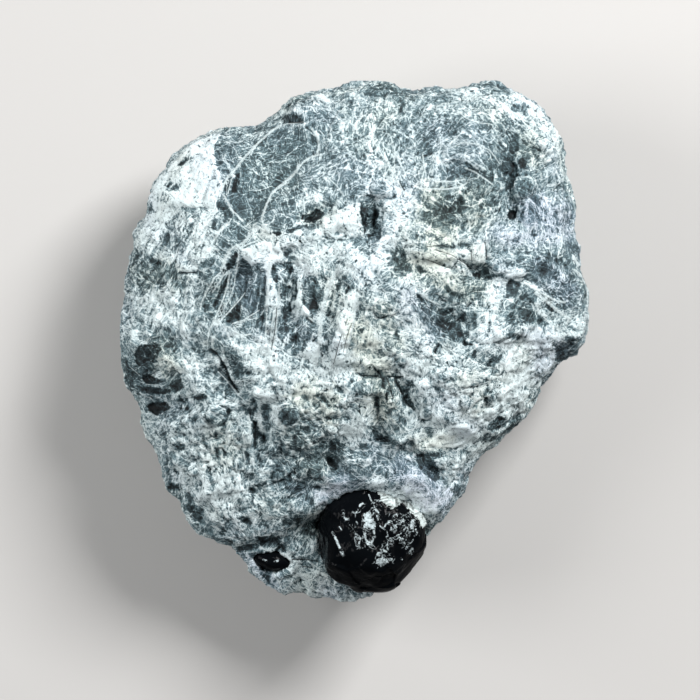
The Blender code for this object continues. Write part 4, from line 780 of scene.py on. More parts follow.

# ---------------------------------------------------------------- marks on the large nodule, in plan
# Frosted lines, partly painted highlights: half width, then the points. The first two rows are a painted reflection
# along the large nodule's left facet, the last two painted glints on the small nodule
FROST_AND_GLINT_LINES = (
    (0.36, (-3.9, -37.4), (-3.3, -38.6), (-2.6, -40.2)),
    (0.46, (-2.5, -40.4), (-1.9, -41.8)),
    (0.2, (3.2, -29.8), (3.6, -30.8), (4.4, -32), (4.7, -33.6), (5, -34.8)),
    (0.4, (5, -31.2), (5.8, -30.8)),
    (0.24, (0.6, -38.2), (1.6, -38.4), (1.2, -39.6), (1.4, -40.4), (2, -40.3)),
    (0.18, (0.4, -38.6), (0.8, -40), (1.6, -40.5)),
    (0.32, (2.2, -36.8), (2.6, -38.4), (3, -39.6), (4, -39.4), (4.4, -38), (4.2, -37)),
    (0.28, (2, -31.6), (1.4, -32.1)),
    (0.2, (1.1, -32.8), (0.6, -33.6)),
    (0.15, (-1.9, -33.4), (-1.6, -33.6)),
    (0.28, (-1.6, -34.4), (-1.2, -34.9)),
    (0.24, (0.8, -35.2), (1, -35.5)),
    (0.12, (-0.6, -35.8), (0.2, -36.6), (0.6, -37.3)),
    (0.22, (8.2, -33.8), (9.4, -33.6), (10.8, -34.2), (10.2, -35.2), (10.3, -36.4), (10, -37.4),
     (9, -37.8), (8, -38.4)),
    (0.2, (11.4, -33.8), (11.8, -35), (12.4, -35.6)),
    (0.2, (12.4, -36.6), (12.9, -37.2), (12.4, -38)),
    (0.2, (6.8, -37), (7, -38), (7.6, -38.6)),
    (0.28, (8, -39.4), (7, -40), (6.6, -41), (5, -41.4), (4.4, -43)),
    (0.34, (7.4, -42), (7.8, -42.8), (6.4, -43.2), (5.8, -44)),
    (0.22, (5, -42.8), (5.6, -43.8)),
    (0.28, (10.5, -38.6), (10, -39.6)),
    (0.22, (9.6, -42.4), (9.8, -42.7)),
    (0.2, (4.3, -42.9), (4.2, -43.1)),
    (0.34, (11.8, -40.6), (11.2, -41.4)),
    (0.18, (12, -38.8), (11.4, -39.6)),
    (0.2, (5.4, -36), (6.2, -36.6), (6.6, -35.6)),
    (0.16, (-2.6, -36.2), (-2.2, -36.8)),
    (0.24, (-17.8, -43), (-17.2, -43.2)),
    (0.34, (-15.5, -43.4), (-14.9, -43.2)),
)
# Frosted patches: how strong, half width, then the points
FROST_PATCHES = (
    (0.95, 1.1, (3.1, -33.9), (3.4, -35.7)),
    (0.7, 0.9, (4.6, -32), (5, -33.6)),
    (0.62, 0.8, (2.6, -37), (3.6, -39.6)),
    (0.62, 0.6, (0.9, -38.2), (1.5, -40.2)),
    (0.6, 2, (8.6, -35), (9.4, -37.4)),
    (0.66, 0.8, (11.6, -34.4), (12.4, -37.4)),
    (0.66, 1.1, (7.4, -39), (6, -41.6)),
    (0.72, 0.9, (7.4, -42.6), (5, -43.4)),
    (0.6, 0.9, (10.2, -39), (11.6, -41.2)),
    (0.6, 0.6, (1.8, -31.8), (0.6, -33.6)),
    (0.6, 0.5, (-1.8, -33.6), (-1.4, -34.8)),
    (0.52, 0.6, (0, -36.2), (0.6, -37.2)),
)
# Crust of the matrix that laps over the large nodule: the corners of each outline
LAPS = (
    ((4.2, -27.8), (5.4, -30), (6.2, -31.4), (7.5, -32.6), (8.6, -32.3), (9.6, -31.5), (11, -32.5), (12.4, -34.2),
     (13.8, -36.4), (15.4, -36.4), (15.4, -27.8)),
)
# Fine flow lines: half width, then the points
FLOW_LINES = (
    (0.12, (-4.2, -44.4), (-2.6, -45.6), (-0.6, -46.4), (1.8, -46.8), (4.4, -46.4)),
    (0.12, (-3.4, -46.2), (-1.4, -47.2), (0.8, -47.6), (3.4, -47.4)),
    (0.12, (0.4, -45.4), (2.2, -45.6)),
    (0.1, (-5, -42), (-4.4, -43.6), (-3.2, -44.8)),
    (0.1, (6.8, -46.2), (9, -44.8), (10.8, -43.2)),
)
# Dimples in the glass: depth, half width, then the points
DIMPLES = (
    (-0.34, 0.22, (-4, -37.2), (-3.4, -38.6), (-2.6, -40.2), (-1.9, -41.8)),
    (0.5, 1.1, (3.2, -34.4), (3.4, -35.6)),
    (0.34, 0.9, (1, -39.4), (2, -39.6)),
    (0.34, 1, (3.4, -38.6), (3.6, -37.6)),
    (0.4, 1, (9, -34.8), (9, -36.6)),
    (0.34, 1, (6.4, -38.4), (5.6, -39.8)),
    (0.3, 1.1, (6.2, -42.6), (5.4, -43.4)),
    (0.26, 0.9, (9.2, -40.6), (8.8, -41.6)),
    (0.26, 0.8, (11.6, -36.6), (11.8, -38.2)),
    (0.24, 0.8, (0.6, -33), (1.4, -32.4)),
    (0.22, 0.7, (-1.2, -34.4), (-0.6, -36.2)),
    (0.2, 1, (6.8, -34.2), (6.6, -35.6)),
)


# ---------------------------------------------------------------- measuring along the marks
def stroke_offsets(places, points):
    """For each place in plan, the way to it from the nearest point of a stroke."""
    best = np.full(len(places), np.inf)
    offsets = np.zeros_like(places)
    for start, end in zip(points[:-1], points[1:]):
        start, run = np.array(start), np.array(end) - np.array(start)
        share = np.clip((places - start) @ run / max(run @ run, 1e-9), 0, 1)
        away = places - start - share[:, None] * run
        distance = np.hypot(away[:, 0], away[:, 1])
        nearer = distance < best
        best[nearer] = distance[nearer]
        offsets[nearer] = away[nearer]
    return offsets, best


def near(places, points, reach):
    """The places that may lie within reach of a stroke."""
    low, high = np.min(points, axis=0) - reach, np.max(points, axis=0) + reach
    return np.nonzero(np.all((places > low) & (places < high), axis=1))[0]


def smooth(value, low, high):
    share = np.clip((value - low) / (high - low), 0, 1)
    return share * share * (3 - 2 * share)


def cover(places, half_width, points, softness, unevenness=None):
    """Which places a stroke covers, and how fully, fading over its softness."""
    reach = half_width * 1.6 + softness
    picked = near(places, points, reach)
    distance = stroke_offsets(places[picked], points)[1]
    if unevenness is not None:
        distance = distance + unevenness[picked] * half_width
    full = 1 - smooth(distance, half_width - softness / 2, half_width + softness / 2)
    return picked, full


def outline_field(places, outline, reach):
    """The places within reach of a closed outline and how far they lie outside it, negative inside."""
    picked = near(places, outline, reach)
    x, y = places[picked].T
    closed = (*outline, outline[0])
    inside = np.zeros(len(picked), bool)
    for (x0, y0), (x1, y1) in zip(closed[:-1], closed[1:]):
        if y0 != y1:
            inside ^= ((y0 > y) != (y1 > y)) & (x < x0 + (y - y0) * (x1 - x0) / (y1 - y0))
    distance = stroke_offsets(places[picked], closed)[1]
    return picked, np.where(inside, -distance, distance)


def line_field(places, shown, lines):
    """Attributes that keep thin lines crisp: the way from the nearest line, in half widths, and a distance
    that it is never less than."""
    field = np.full((len(places), 3), 0.0)
    field[:, 0] = LINE_REACH / LINE_SLACK
    far = np.full(len(places), LINE_REACH / LINE_SLACK)
    nearest = np.full(len(places), LINE_REACH)
    for half_width, *points in lines:
        picked = near(places, points, LINE_REACH)
        offsets, distance = stroke_offsets(places[picked], points)
        closer = (distance - half_width < nearest[picked]) & shown[picked]
        picked, offsets, distance = picked[closer], offsets[closer], distance[closer]
        nearest[picked] = distance - half_width
        drawn = half_width * LINE_SHARE
        field[picked, :2] = offsets / drawn
        far[picked] = (distance - LINE_SLACK) / drawn
    return field, far, nearest


LINE_REACH = 2.5
LINE_SHARE = 0.62
LINE_SLACK = 0.45
PANEL_REACH = 0.8


def strand_field(points, strands):
    """The same for strands in space: each is a half width and a row of points on the surface."""
    field = np.zeros((len(points), 3))
    field[:, 0] = LINE_REACH / LINE_SLACK
    far = np.full(len(points), LINE_REACH / LINE_SLACK)
    nearest = np.full(len(points), STRAND_REACH)
    for half_width, stroke in strands:
        low, high = stroke.min(axis=0) - STRAND_REACH, stroke.max(axis=0) + STRAND_REACH
        picked = np.nonzero(np.all((points > low) & (points < high), axis=1))[0]
        best = nearest[picked].copy()
        for start, end in zip(stroke[:-1], stroke[1:]):
            run = end - start
            share = np.clip((points[picked] - start) @ run / max(run @ run, 1e-9), 0, 1)
            away = points[picked] - start - share[:, None] * run
            distance = np.linalg.norm(away, axis=1)
            closer = distance < best
            best[closer] = distance[closer]
            field[picked[closer]] = away[closer] / half_width
            far[picked[closer]] = (distance[closer] - LINE_SLACK) / half_width
        nearest[picked] = best
    return field, far


def grow_strands(points, leading, bunches, longest, thickest, seed):
    """Thin wandering lines all over the surface, in bunches that run side by side and follow it."""
    chance = np.random.default_rng(seed)
    tree = kdtree.KDTree(len(points))
    for index, point in enumerate(points):
        tree.insert(point, index)
    tree.balance()
    strands = []
    for start in chance.integers(0, len(points), bunches):
        heading = np.cross(leading[start], chance.normal(size=3))
        heading /= max(np.linalg.norm(heading), 1e-6)
        aside = np.cross(leading[start], heading)
        bend = chance.normal(0, 0.08)
        length = longest * chance.uniform(0.3, 1.0)
        for number in range(chance.integers(1, 5)):
            shift = aside * number * STRAND_SPACING + heading * chance.normal(0, 1.5)
            _, index, _ = tree.find(points[start] + shift)
            half_width = thickest * chance.uniform(0.4, 1.0)
            way = heading + aside * chance.normal(0, 0.12)
            stroke = [points[index]]
            for _ in range(int(length * chance.uniform(0.5, 1.0) / STRAND_STEP)):
                out = leading[index]
                way = way - out * (way @ out)
                way = way / max(np.linalg.norm(way), 1e-6)
                way = way + np.cross(out, way) * (bend + chance.normal(0, 0.06))
                _, index, _ = tree.find(stroke[-1] + way * STRAND_STEP)
                stroke.append(points[index])
            path = np.array(stroke)
            for _ in range(2):
                path[1:-1] = (path[:-2] + 2 * path[1:-1] + path[2:]) / 4
            strands.append((half_width, path))
    return strands


STRAND_SPACING = 0.95
STRAND_REACH = 1.6
STRAND_STEP = 1.3


# ---------------------------------------------------------------- noise in numbers
def waves(points, grain, seed=0.0, octaves=3, rough=0.9):
    """Smooth noise from about -1 to 1, with features of the given grain in millimetres."""
    shift = Vector((seed, -seed, seed / 2))
    return np.array([noise.fractal(Vector(p) + shift, rough, 2.1, octaves) for p in points / grain])


def drift(points, grain, seed=0.0):
    """Smooth vectors of up to about 1."""
    shift = Vector((seed, -seed, seed / 2))
    return np.array([noise.noise_vector(Vector(p) + shift) for p in points / grain])


def cells(points, grain, seed=0.0):
    """Distances to the nearest and the second nearest cell middle, in grains, and a number for each cell."""
    shift = Vector((seed, -seed, seed / 2))
    near_by = np.empty((len(points), 2))
    middles = np.empty((len(points), 3))
    for index, point in enumerate(points / grain):
        distances, places = noise.voronoi(Vector(point) + shift)
        near_by[index] = distances[:2]
        middles[index] = places[0]
    tilts = np.sin(middles * (12.9898, 78.233, 37.719)).sum(axis=1)
    turned = np.sin(middles[:, [1, 2, 0]] * (39.346, 11.135, 83.155)).sum(axis=1)
    return near_by[:, 0], near_by[:, 1], (points / grain + np.array(shift)) - middles, np.stack((tilts, turned), 1)


# ---------------------------------------------------------------- meshes
def coordinates(mesh):
    values = np.empty(len(mesh.vertices) * 3, np.float32)
    mesh.vertices.foreach_get("co", values)
    return values.reshape(-1, 3).astype(float) / MM


def set_coordinates(mesh, points):
    mesh.vertices.foreach_set("co", (points * MM).astype(np.float32).ravel())
    mesh.update()


def normals(mesh):
    values = np.empty(len(mesh.vertices) * 3, np.float32)
    mesh.vertex_normals.foreach_get("vector", values)
    return values.reshape(-1, 3).astype(float)


def apply_modifiers(obj):
    graph = bpy.context.evaluated_depsgraph_get()
    graph.update()
    made = bpy.data.meshes.new_from_object(obj.evaluated_get(graph))
    obj.modifiers.clear()
    old, obj.data = obj.data, made
    bpy.data.meshes.remove(old)
    return obj


def refined_copy(node, name, voxel, smoothing):
    """A piece with the solid's shape, in small even faces, with the solid's own facets smoothed away."""
    obj = bpy.data.objects.new(name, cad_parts[node].data.copy())
    obj.data.materials.clear()
    bpy.context.scene.collection.objects.link(obj)
    remesh = obj.modifiers.new("remesh", "REMESH")
    remesh.mode = "VOXEL"
    remesh.voxel_size = voxel * MM
    ease = obj.modifiers.new("ease", "SMOOTH")
    ease.factor = 0.5
    ease.iterations = smoothing
    return apply_modifiers(obj)


def add_numbers(mesh, name, values, kind="FLOAT"):
    attribute = mesh.attributes.new(name, kind, "POINT")
    key = "value" if kind == "FLOAT" else "vector"
    attribute.data.foreach_set(key, np.asarray(values, np.float32).ravel())


def smoothed(mesh_object, iterations):
    """The piece's corners and their normals after smoothing, for telling hollows from crests."""
    ease = mesh_object.modifiers.new("ease", "SMOOTH")
    ease.factor = 0.5
    ease.iterations = iterations
    graph = bpy.context.evaluated_depsgraph_get()
    graph.update()
    mesh = mesh_object.evaluated_get(graph).data
    eased = coordinates(mesh), normals(mesh)
    mesh_object.modifiers.remove(ease)
    return eased


def plan_of(points):
    return points[:, :2] - PLAN_ZERO


# ---------------------------------------------------------------- node trees
def place_node(tree, kind, settings=None, **inputs):
    """Adds a node. An input is a value or another node's socket."""
    node = tree.nodes.new(kind)
    for key, value in (settings or {}).items():
        setattr(node, key, value)
    for key, value in inputs.items():
        socket = node.inputs[int(key[1:])] if key[0] == "_" else node.inputs[key.replace("_", " ")]
        if isinstance(value, bpy.types.NodeSocket):
            tree.links.new(value, socket)
        else:
            socket.default_value = value
    return node


def maths(tree, operation, *values, clamp=False):
    inputs = {f"_{index}": value for index, value in enumerate(values)}
    return place_node(tree, "ShaderNodeMath", {"operation": operation, "use_clamp": clamp}, **inputs).outputs[0]


def vector_maths(tree, operation, output, *values):
    inputs = {f"_{index}": value for index, value in enumerate(values)}
    return place_node(tree, "ShaderNodeVectorMath", {"operation": operation}, **inputs).outputs[output]


def stepped(tree, value, low, high, clamp=True):
    """0 below low and 1 above high."""
    settings = {"interpolation_type": "SMOOTHSTEP", "clamp": clamp}
    inputs = {"Value": value, "From_Min": low, "From_Max": high}
    return place_node(tree, "ShaderNodeMapRange", settings, **inputs).outputs["Result"]


def blend_colours(tree, share, first, second, kind="MIX"):
    node = tree.nodes.new("ShaderNodeMix")
    node.data_type = "RGBA"
    node.blend_type = kind
    for socket, value in ((node.inputs[0], share), (node.inputs[6], first), (node.inputs[7], second)):
        if isinstance(value, bpy.types.NodeSocket):
            tree.links.new(value, socket)
        else:
            socket.default_value = value
    return node.outputs[2]


def ramp(tree, value, stops):
    node = place_node(tree, "ShaderNodeValToRGB", Fac=value)
    elements = node.color_ramp.elements
    while len(elements) < len(stops):
        elements.new(0.5)
    for element, (position, colour) in zip(elements, stops):
        element.position = position
        element.color = (*colour[:3], 1.0)
    return node.outputs["Color"]


def attribute(tree, name, output="Fac"):
    return place_node(tree, "ShaderNodeAttribute", {"attribute_name": name}).outputs[output]


def noise_value(tree, place, scale, detail=2.0, rough=0.5, distortion=0.0):
    return place_node(
        tree,
        "ShaderNodeTexNoise",
        Vector=place,
        Scale=scale,
        Detail=detail,
        Roughness=rough,
        Distortion=distortion,
    ).outputs["Fac"]


def new_group(name, inputs, outputs):
    """A shader node group with named sockets. Returns the tree, its inputs and its output node."""
    tree = bpy.data.node_groups.new(name, "ShaderNodeTree")
    for label, kind in inputs:
        tree.interface.new_socket(label, in_out="INPUT", socket_type=f"NodeSocket{kind}")
    for label, kind in outputs:
        tree.interface.new_socket(label, in_out="OUTPUT", socket_type=f"NodeSocket{kind}")
    return tree, tree.nodes.new("NodeGroupInput").outputs, tree.nodes.new("NodeGroupOutput")


def use_group(tree, group, **inputs):
    return place_node(tree, "ShaderNodeGroup", {"node_tree": group}, **inputs).outputs


def place_in_mm(tree):
    place = tree.nodes.new("ShaderNodeTexCoord").outputs["Object"]
    return vector_maths(tree, "MULTIPLY", "Vector", place, (1000.0, 1000.0, 1000.0))


def crisp_lines_group():
    """Thin lines with ragged edges, drawn from the offsets that a mesh carries."""
    inputs = (("Offset", "Vector"), ("Far", "Float"), ("Place", "Vector"), ("Raggedness", "Float"))
    tree, given, out = new_group("Crisp Lines", inputs, (("Mask", "Float"),))
    wander = place_node(tree, "ShaderNodeTexNoise", Vector=given["Place"], Scale=1.6, Detail=3.0)
    centred = vector_maths(tree, "SUBTRACT", "Vector", wander.outputs["Color"], (0.5, 0.5, 0.5))
    scaled = vector_maths(tree, "MULTIPLY", "Vector", centred, given["Raggedness"])
    length = vector_maths(tree, "LENGTH", "Value", vector_maths(tree, "ADD", "Vector", given["Offset"], scaled))
    distance = maths(tree, "MAXIMUM", length, given["Far"])
    tree.links.new(maths(tree, "SUBTRACT", 1.0, stepped(tree, distance, 0.65, 1.45)), out.inputs["Mask"])
    return tree


def web_group():
    """A web of fine wandering lines, where warped noise crosses its middle value."""
    inputs = (("Place", "Vector"), ("Scale", "Float"), ("Width", "Float"))
    tree, given, out = new_group("Fine Web", inputs, (("Mask", "Float"),))
    swirl = place_node(
        tree, "ShaderNodeTexNoise", Vector=given["Place"], Scale=given["Scale"], Detail=1.5,
        Roughness=0.40, Distortion=0.25,
    ).outputs["Fac"]
    away = maths(tree, "ABSOLUTE", maths(tree, "SUBTRACT", swirl, 0.5))
    tree.links.new(maths(tree, "SUBTRACT", 1.0, stepped(tree, away, 0.0, given["Width"])), out.inputs["Mask"])
    return tree


def grit_group():
    """Salt-and-pepper grains, with a height for bump."""
    inputs = (("Place", "Vector"), ("Scale", "Float"))
    outputs = (("Tone", "Float"), ("Height", "Float"))
    tree, given, out = new_group("Grit", inputs, outputs)
    grain = place_node(
        tree, "ShaderNodeTexNoise", Vector=given["Place"], Scale=given["Scale"], Detail=4.0, Roughness=0.72
    ).outputs["Fac"]
    cell = place_node(
        tree, "ShaderNodeTexVoronoi", {"feature": "F1"}, Vector=given["Place"], Scale=given["Scale"]
    )
    speck = maths(tree, "SUBTRACT", 0.55, cell.outputs["Distance"])
    tone = maths(tree, "ADD", stepped(tree, grain, 0.32, 0.68), maths(tree, "MULTIPLY", speck, 0.5))
    tree.links.new(tone, out.inputs["Tone"])
    tree.links.new(maths(tree, "ADD", grain, maths(tree, "MULTIPLY", speck, 0.35)), out.inputs["Height"])
    return tree


def felt_group():
    """Mats of thin fibres that run another way in each small cell."""
    inputs = (("Place", "Vector"), ("Mats", "Float"), ("Fibres", "Float"), ("Width", "Float"))
    tree, given, out = new_group("Felt", inputs, (("Mask", "Float"), ("Hatch", "Float")))
    mat = place_node(
        tree, "ShaderNodeTexVoronoi", {"feature": "F1"}, Vector=given["Place"], Scale=given["Mats"]
    ).outputs["Color"]
    turn = vector_maths(tree, "MULTIPLY", "Vector", mat, (0.15, 0.15, 6.28))
    turned = place_node(
        tree, "ShaderNodeVectorRotate", {"rotation_type": "EULER_XYZ"}, Vector=given["Place"], Rotation=turn
    ).outputs["Vector"]
    drawn = vector_maths(tree, "MULTIPLY", "Vector", turned, (0.10, 1.0, 0.25))
    fibre = place_node(
        tree, "ShaderNodeTexNoise", Vector=drawn, Scale=given["Fibres"], Detail=2.0, Roughness=0.6
    ).outputs["Fac"]
    away = maths(tree, "ABSOLUTE", maths(tree, "SUBTRACT", fibre, 0.5))
    tree.links.new(maths(tree, "SUBTRACT", 1.0, stepped(tree, away, 0.0, given["Width"])), out.inputs["Mask"])
    tree.links.new(maths(tree, "SUBTRACT", stepped(tree, fibre, 0.36, 0.64), 0.5), out.inputs["Hatch"])
    return tree


GROUPS = {}


def shared_groups():
    if not GROUPS:
        GROUPS.update(lines=crisp_lines_group(), web=web_group(), grit=grit_group(), felt=felt_group())
    return GROUPS


def new_material(name):
    material = bpy.data.materials.new(name)
    material.use_nodes = True
    return material, material.node_tree, material.node_tree.nodes["Principled BSDF"]


# ---------------------------------------------------------------- perlite
# Webs of fine lines: how many cross a millimetre, width, how strong, and whether they keep to the grain
WEBS = ((0.13, 0.010, 0.30, False), (0.24, 0.017, 0.20, False), (0.5, 0.028, 0.10, True))
# Dark hair lines in the pale crusts: how many cross a millimetre, width, and how strong
DARK_WEBS = ((0.22, 0.018, 0.34), (0.6, 0.04, 0.26))
# Nets of cell edges: cells to a millimetre, width of their lines, and how strong
NETS = ((0.22, 0.026, 0.30), (0.60, 0.055, 0.12))
# Felts: how many mats and how many fibres to a millimetre, how wide, how strong, and how strong their hatching
FELTS = (
    (0.08, 0.5, 0.022, 0.32, 0.0),
    (0.14, 0.8, 0.032, 0.22, 0.0),
    (0.20, 2.2, 0.100, 0.0, 0.13),
    (0.30, 3.4, 0.120, 0.0, 0.16),
    (0.12, 0.8, 0.030, -0.22, 0.0),
)
# Bunches of long threads: which way they run, in degrees, and a seed
THREADS = ((-62.0, 3.0), (34.0, 17.0))


def perlite_material(look):
    """Grey glassy rock under chalky crusts, with a web of white veins."""
    material, tree, shader = new_material("perlite")
    groups = shared_groups()
    place = place_in_mm(tree)
    wander = place_node(tree, "ShaderNodeTexNoise", Vector=place, Scale=0.45, Detail=2.0).outputs["Color"]
    bent = vector_maths(
        tree, "ADD", "Vector", place, vector_maths(tree, "MULTIPLY", "Vector", wander, (1.3, 1.3, 1.3))
    )

    sway = place_node(tree, "ShaderNodeTexNoise", Vector=place, Scale=1.3, Detail=2.0).outputs["Color"]
    swayed = vector_maths(
        tree, "ADD", "Vector", bent, vector_maths(tree, "MULTIPLY", "Vector", sway, (1.1, 1.1, 1.1))
    )

    chipped = maths(tree, "SUBTRACT", noise_value(tree, place, 1.5, 3.0, 0.65), 0.5)
    edge = maths(tree, "ADD", attribute(tree, "panel_edge"), maths(tree, "MULTIPLY", chipped, 1.1))
    within = maths(tree, "SUBTRACT", 1.0, stepped(tree, edge, -0.10, 0.14))
    lifted = maths(tree, "MULTIPLY", attribute(tree, "panel_lift"), within)
    tone = maths(tree, "ADD", attribute(tree, "tone"), lifted, clamp=True)
    cavity = attribute(tree, "cavity")
    streak = attribute(tree, "streak")
    turn = maths(tree, "MULTIPLY", attribute(tree, "streak_turn"), -1.0)
    along = place_node(
        tree, "ShaderNodeVectorRotate", {"rotation_type": "Z_AXIS"}, Vector=bent, Angle=turn
    ).outputs["Vector"]
    thin = vector_maths(tree, "MULTIPLY", "Vector", along, (0.16, 1.5, 0.5))
    streaks = maths(tree, "SUBTRACT", stepped(tree, noise_value(tree, thin, 1.0, 3.0, 0.62), 0.34, 0.66), 0.5)

    patches = maths(tree, "SUBTRACT", noise_value(tree, bent, 0.55, 3.0, 0.6, 0.6), 0.5)
    flecks = maths(tree, "SUBTRACT", stepped(tree, noise_value(tree, bent, 1.5, 3.0, 0.65, 0.8), 0.3, 0.7), 0.5)
    grit = use_group(tree, groups["grit"], Place=place, Scale=4.4)
    grains = maths(tree, "SUBTRACT", grit["Tone"], 0.6)
    webs = [
        (use_group(tree, groups["web"], Place=place if fine else bent, Scale=scale, Width=width)["Mask"], share)
        for scale, width, share, fine in WEBS
    ]
    felts = []
    for mats, fibres, width, share, hatching in FELTS:
        felt = use_group(tree, groups["felt"], Place=bent, Mats=mats, Fibres=fibres, Width=width)
        felts += [(felt["Mask"], share), (felt["Hatch"], hatching)]
    nets = []
    for scale, width, share in NETS:
        edge = place_node(
            tree, "ShaderNodeTexVoronoi", {"feature": "DISTANCE_TO_EDGE"}, Vector=bent, Scale=scale
        ).outputs["Distance"]
        line = maths(tree, "SUBTRACT", 1.0, stepped(tree, edge, 0.0, width))
        there = stepped(tree, noise_value(tree, bent, scale * 0.7, 2.0), 0.46, 0.60)
        nets.append((maths(tree, "MULTIPLY", line, there), share))
    cell = place_node(tree, "ShaderNodeTexVoronoi", {"feature": "F1"}, Vector=swayed, Scale=NETS[0][0])
    mosaic = place_node(tree, "ShaderNodeSeparateColor", Color=cell.outputs["Color"]).outputs["Red"]
    dots = place_node(tree, "ShaderNodeTexVoronoi", {"feature": "F1"}, Vector=swayed, Scale=0.8)
    chosen = place_node(tree, "ShaderNodeSeparateColor", Color=dots.outputs["Color"]).outputs["Green"]
    hole = maths(
        tree, "MULTIPLY", maths(tree, "SUBTRACT", 1.0, stepped(tree, dots.outputs["Distance"], 0.14, 0.30)),
        stepped(tree, chosen, 0.62, 0.66),
    )
    threads = []
    for turn, seed in THREADS:
        turned = place_node(
            tree, "ShaderNodeVectorRotate", {"rotation_type": "Z_AXIS"}, Vector=bent, Angle=math.radians(turn)
        ).outputs["Vector"]
        drawn = vector_maths(tree, "MULTIPLY", "Vector", turned, (0.22, 1.0, 0.6))
        moved = vector_maths(tree, "ADD", "Vector", drawn, (seed, seed, 0.0))
        thread = use_group(tree, groups["web"], Place=moved, Scale=0.75, Width=0.035)["Mask"]
        bunch = stepped(tree, noise_value(tree, moved, 0.12, 2.0), 0.42, 0.62)
        threads.append((maths(tree, "MULTIPLY", thread, bunch), 0.24))

    parts = (
        (patches, look.patchiness),
        (flecks, 0.03),
        (grains, look.grittiness),
        *felts,
        (maths(tree, "MULTIPLY", streaks, streak), 0.40),
        (maths(tree, "SUBTRACT", mosaic, 0.5), 0.06),
    )
    detail = -0.045
    for value, share in parts:
        detail = maths(tree, "ADD", detail, maths(tree, "MULTIPLY", value, share))
    for name, *_, share in STRANDS:
        strand = use_group(
            tree, groups["lines"], Offset=attribute(tree, name, "Vector"), Far=attribute(tree, f"{name}_far"),
            Place=place, Raggedness=1.5,
        )["Mask"]
        broken = stepped(tree, noise_value(tree, bent, 0.30, 3.0), 0.42, 0.58)
        detail = maths(tree, "ADD", detail, maths(tree, "MULTIPLY", maths(tree, "MULTIPLY", strand, broken), share))
    shown_detail = maths(tree, "ADD", maths(tree, "MULTIPLY", tone, 0.85), 0.45, clamp=True)
    mixed = maths(tree, "ADD", tone, maths(tree, "MULTIPLY", detail, shown_detail))
    pinholes = maths(tree, "MULTIPLY", hole, stepped(tree, tone, 0.55, 0.8))
    mixed = maths(tree, "SUBTRACT", mixed, maths(tree, "MULTIPLY", pinholes, 0.5))
    aside = vector_maths(tree, "ADD", "Vector", bent, (40.0, 7.0, 3.0))
    for scale, width, share in DARK_WEBS:
        hair = use_group(tree, groups["web"], Place=aside, Scale=scale, Width=width)["Mask"]
        hair = maths(tree, "MULTIPLY", hair, stepped(tree, tone, 0.5, 0.85))
        mixed = maths(tree, "SUBTRACT", mixed, maths(tree, "MULTIPLY", hair, share))
    for value, share in (*webs, *nets, *threads):
        mixed = maths(tree, "ADD", mixed, maths(tree, "MULTIPLY", value, share))
    # Painted shade and light: the hollows of the mesh are darkened and its crests lightened in the colour
    mixed = maths(tree, "ADD", mixed, maths(tree, "MULTIPLY", cavity, 0.34))
    mixed = maths(tree, "MINIMUM", mixed, 1.0, clamp=True)

    veins = use_group(
        tree, groups["lines"], Offset=attribute(tree, "vein", "Vector"), Far=attribute(tree, "vein_far"),
        Place=place, Raggedness=2.0,
    )["Mask"]
    cracks = use_group(
        tree, groups["lines"], Offset=attribute(tree, "crack", "Vector"), Far=attribute(tree, "crack_far"),
        Place=place, Raggedness=1.6,
    )["Mask"]
    broken = maths(tree, "ADD", maths(tree, "MULTIPLY", grit["Tone"], 0.8), 0.28, clamp=True)
    vein_share = maths(tree, "MULTIPLY", veins, maths(tree, "MULTIPLY", broken, 0.95))

    colour = ramp(
        tree,
        mixed,
        (
            (0.0, look.glass),
            (0.16, [0.45 * c + 0.12 * s for c, s in zip(look.glass, look.slate)]),
            (0.34, [0.36 * c for c in look.slate]),
            (0.52, look.slate),
            (0.70, [0.5 * c + 0.42 * s for c, s in zip(look.chalk, look.slate)]),
            (0.86, [0.78 * c for c in look.chalk]),
            (1.0, look.chalk),
        ),
    )
    colour = blend_colours(tree, attribute(tree, "warm"), colour, (*look.warm, 1.0), "MULTIPLY")
    colour = blend_colours(tree, attribute(tree, "lilac"), colour, (*look.lilac, 1.0), "MULTIPLY")
    colour = blend_colours(tree, vein_share, colour, (*look.chalk, 1.0))
    colour = blend_colours(tree, maths(tree, "MULTIPLY", cracks, 0.75), colour, (*look.glass, 1.0))
    tree.links.new(colour, shader.inputs["Base Color"])

    rough = place_node(
        tree, "ShaderNodeMapRange", Value=mixed, From_Min=0.05, From_Max=0.6, To_Min=0.50, To_Max=0.88
    ).outputs["Result"]
    tree.links.new(rough, shader.inputs["Roughness"])
    shader.inputs["Specular IOR Level"].default_value = 0.22

    # Bump works out its height three times over, so it is fed from the few nodes that matter most
    swell = maths(tree, "ADD", tone, maths(tree, "MULTIPLY", grains, look.grittiness))
    swell = maths(tree, "ADD", swell, maths(tree, "MULTIPLY", cavity, 0.34))
    height = maths(tree, "ADD", maths(tree, "MULTIPLY", grit["Height"], 0.10), maths(tree, "MULTIPLY", swell, 0.12))
    height = maths(tree, "ADD", height, maths(tree, "MULTIPLY", vein_share, 0.12))
    height = maths(tree, "SUBTRACT", height, maths(tree, "MULTIPLY", cracks, 0.3))
    height = maths(
        tree, "ADD", height, maths(tree, "MULTIPLY", maths(tree, "MULTIPLY", streaks, streak), 0.16)
    )
    bump = place_node(tree, "ShaderNodeBump", Height=height, Strength=0.85, Distance=MM)
    tree.links.new(bump.outputs["Normal"], shader.inputs["Normal"])
    return material


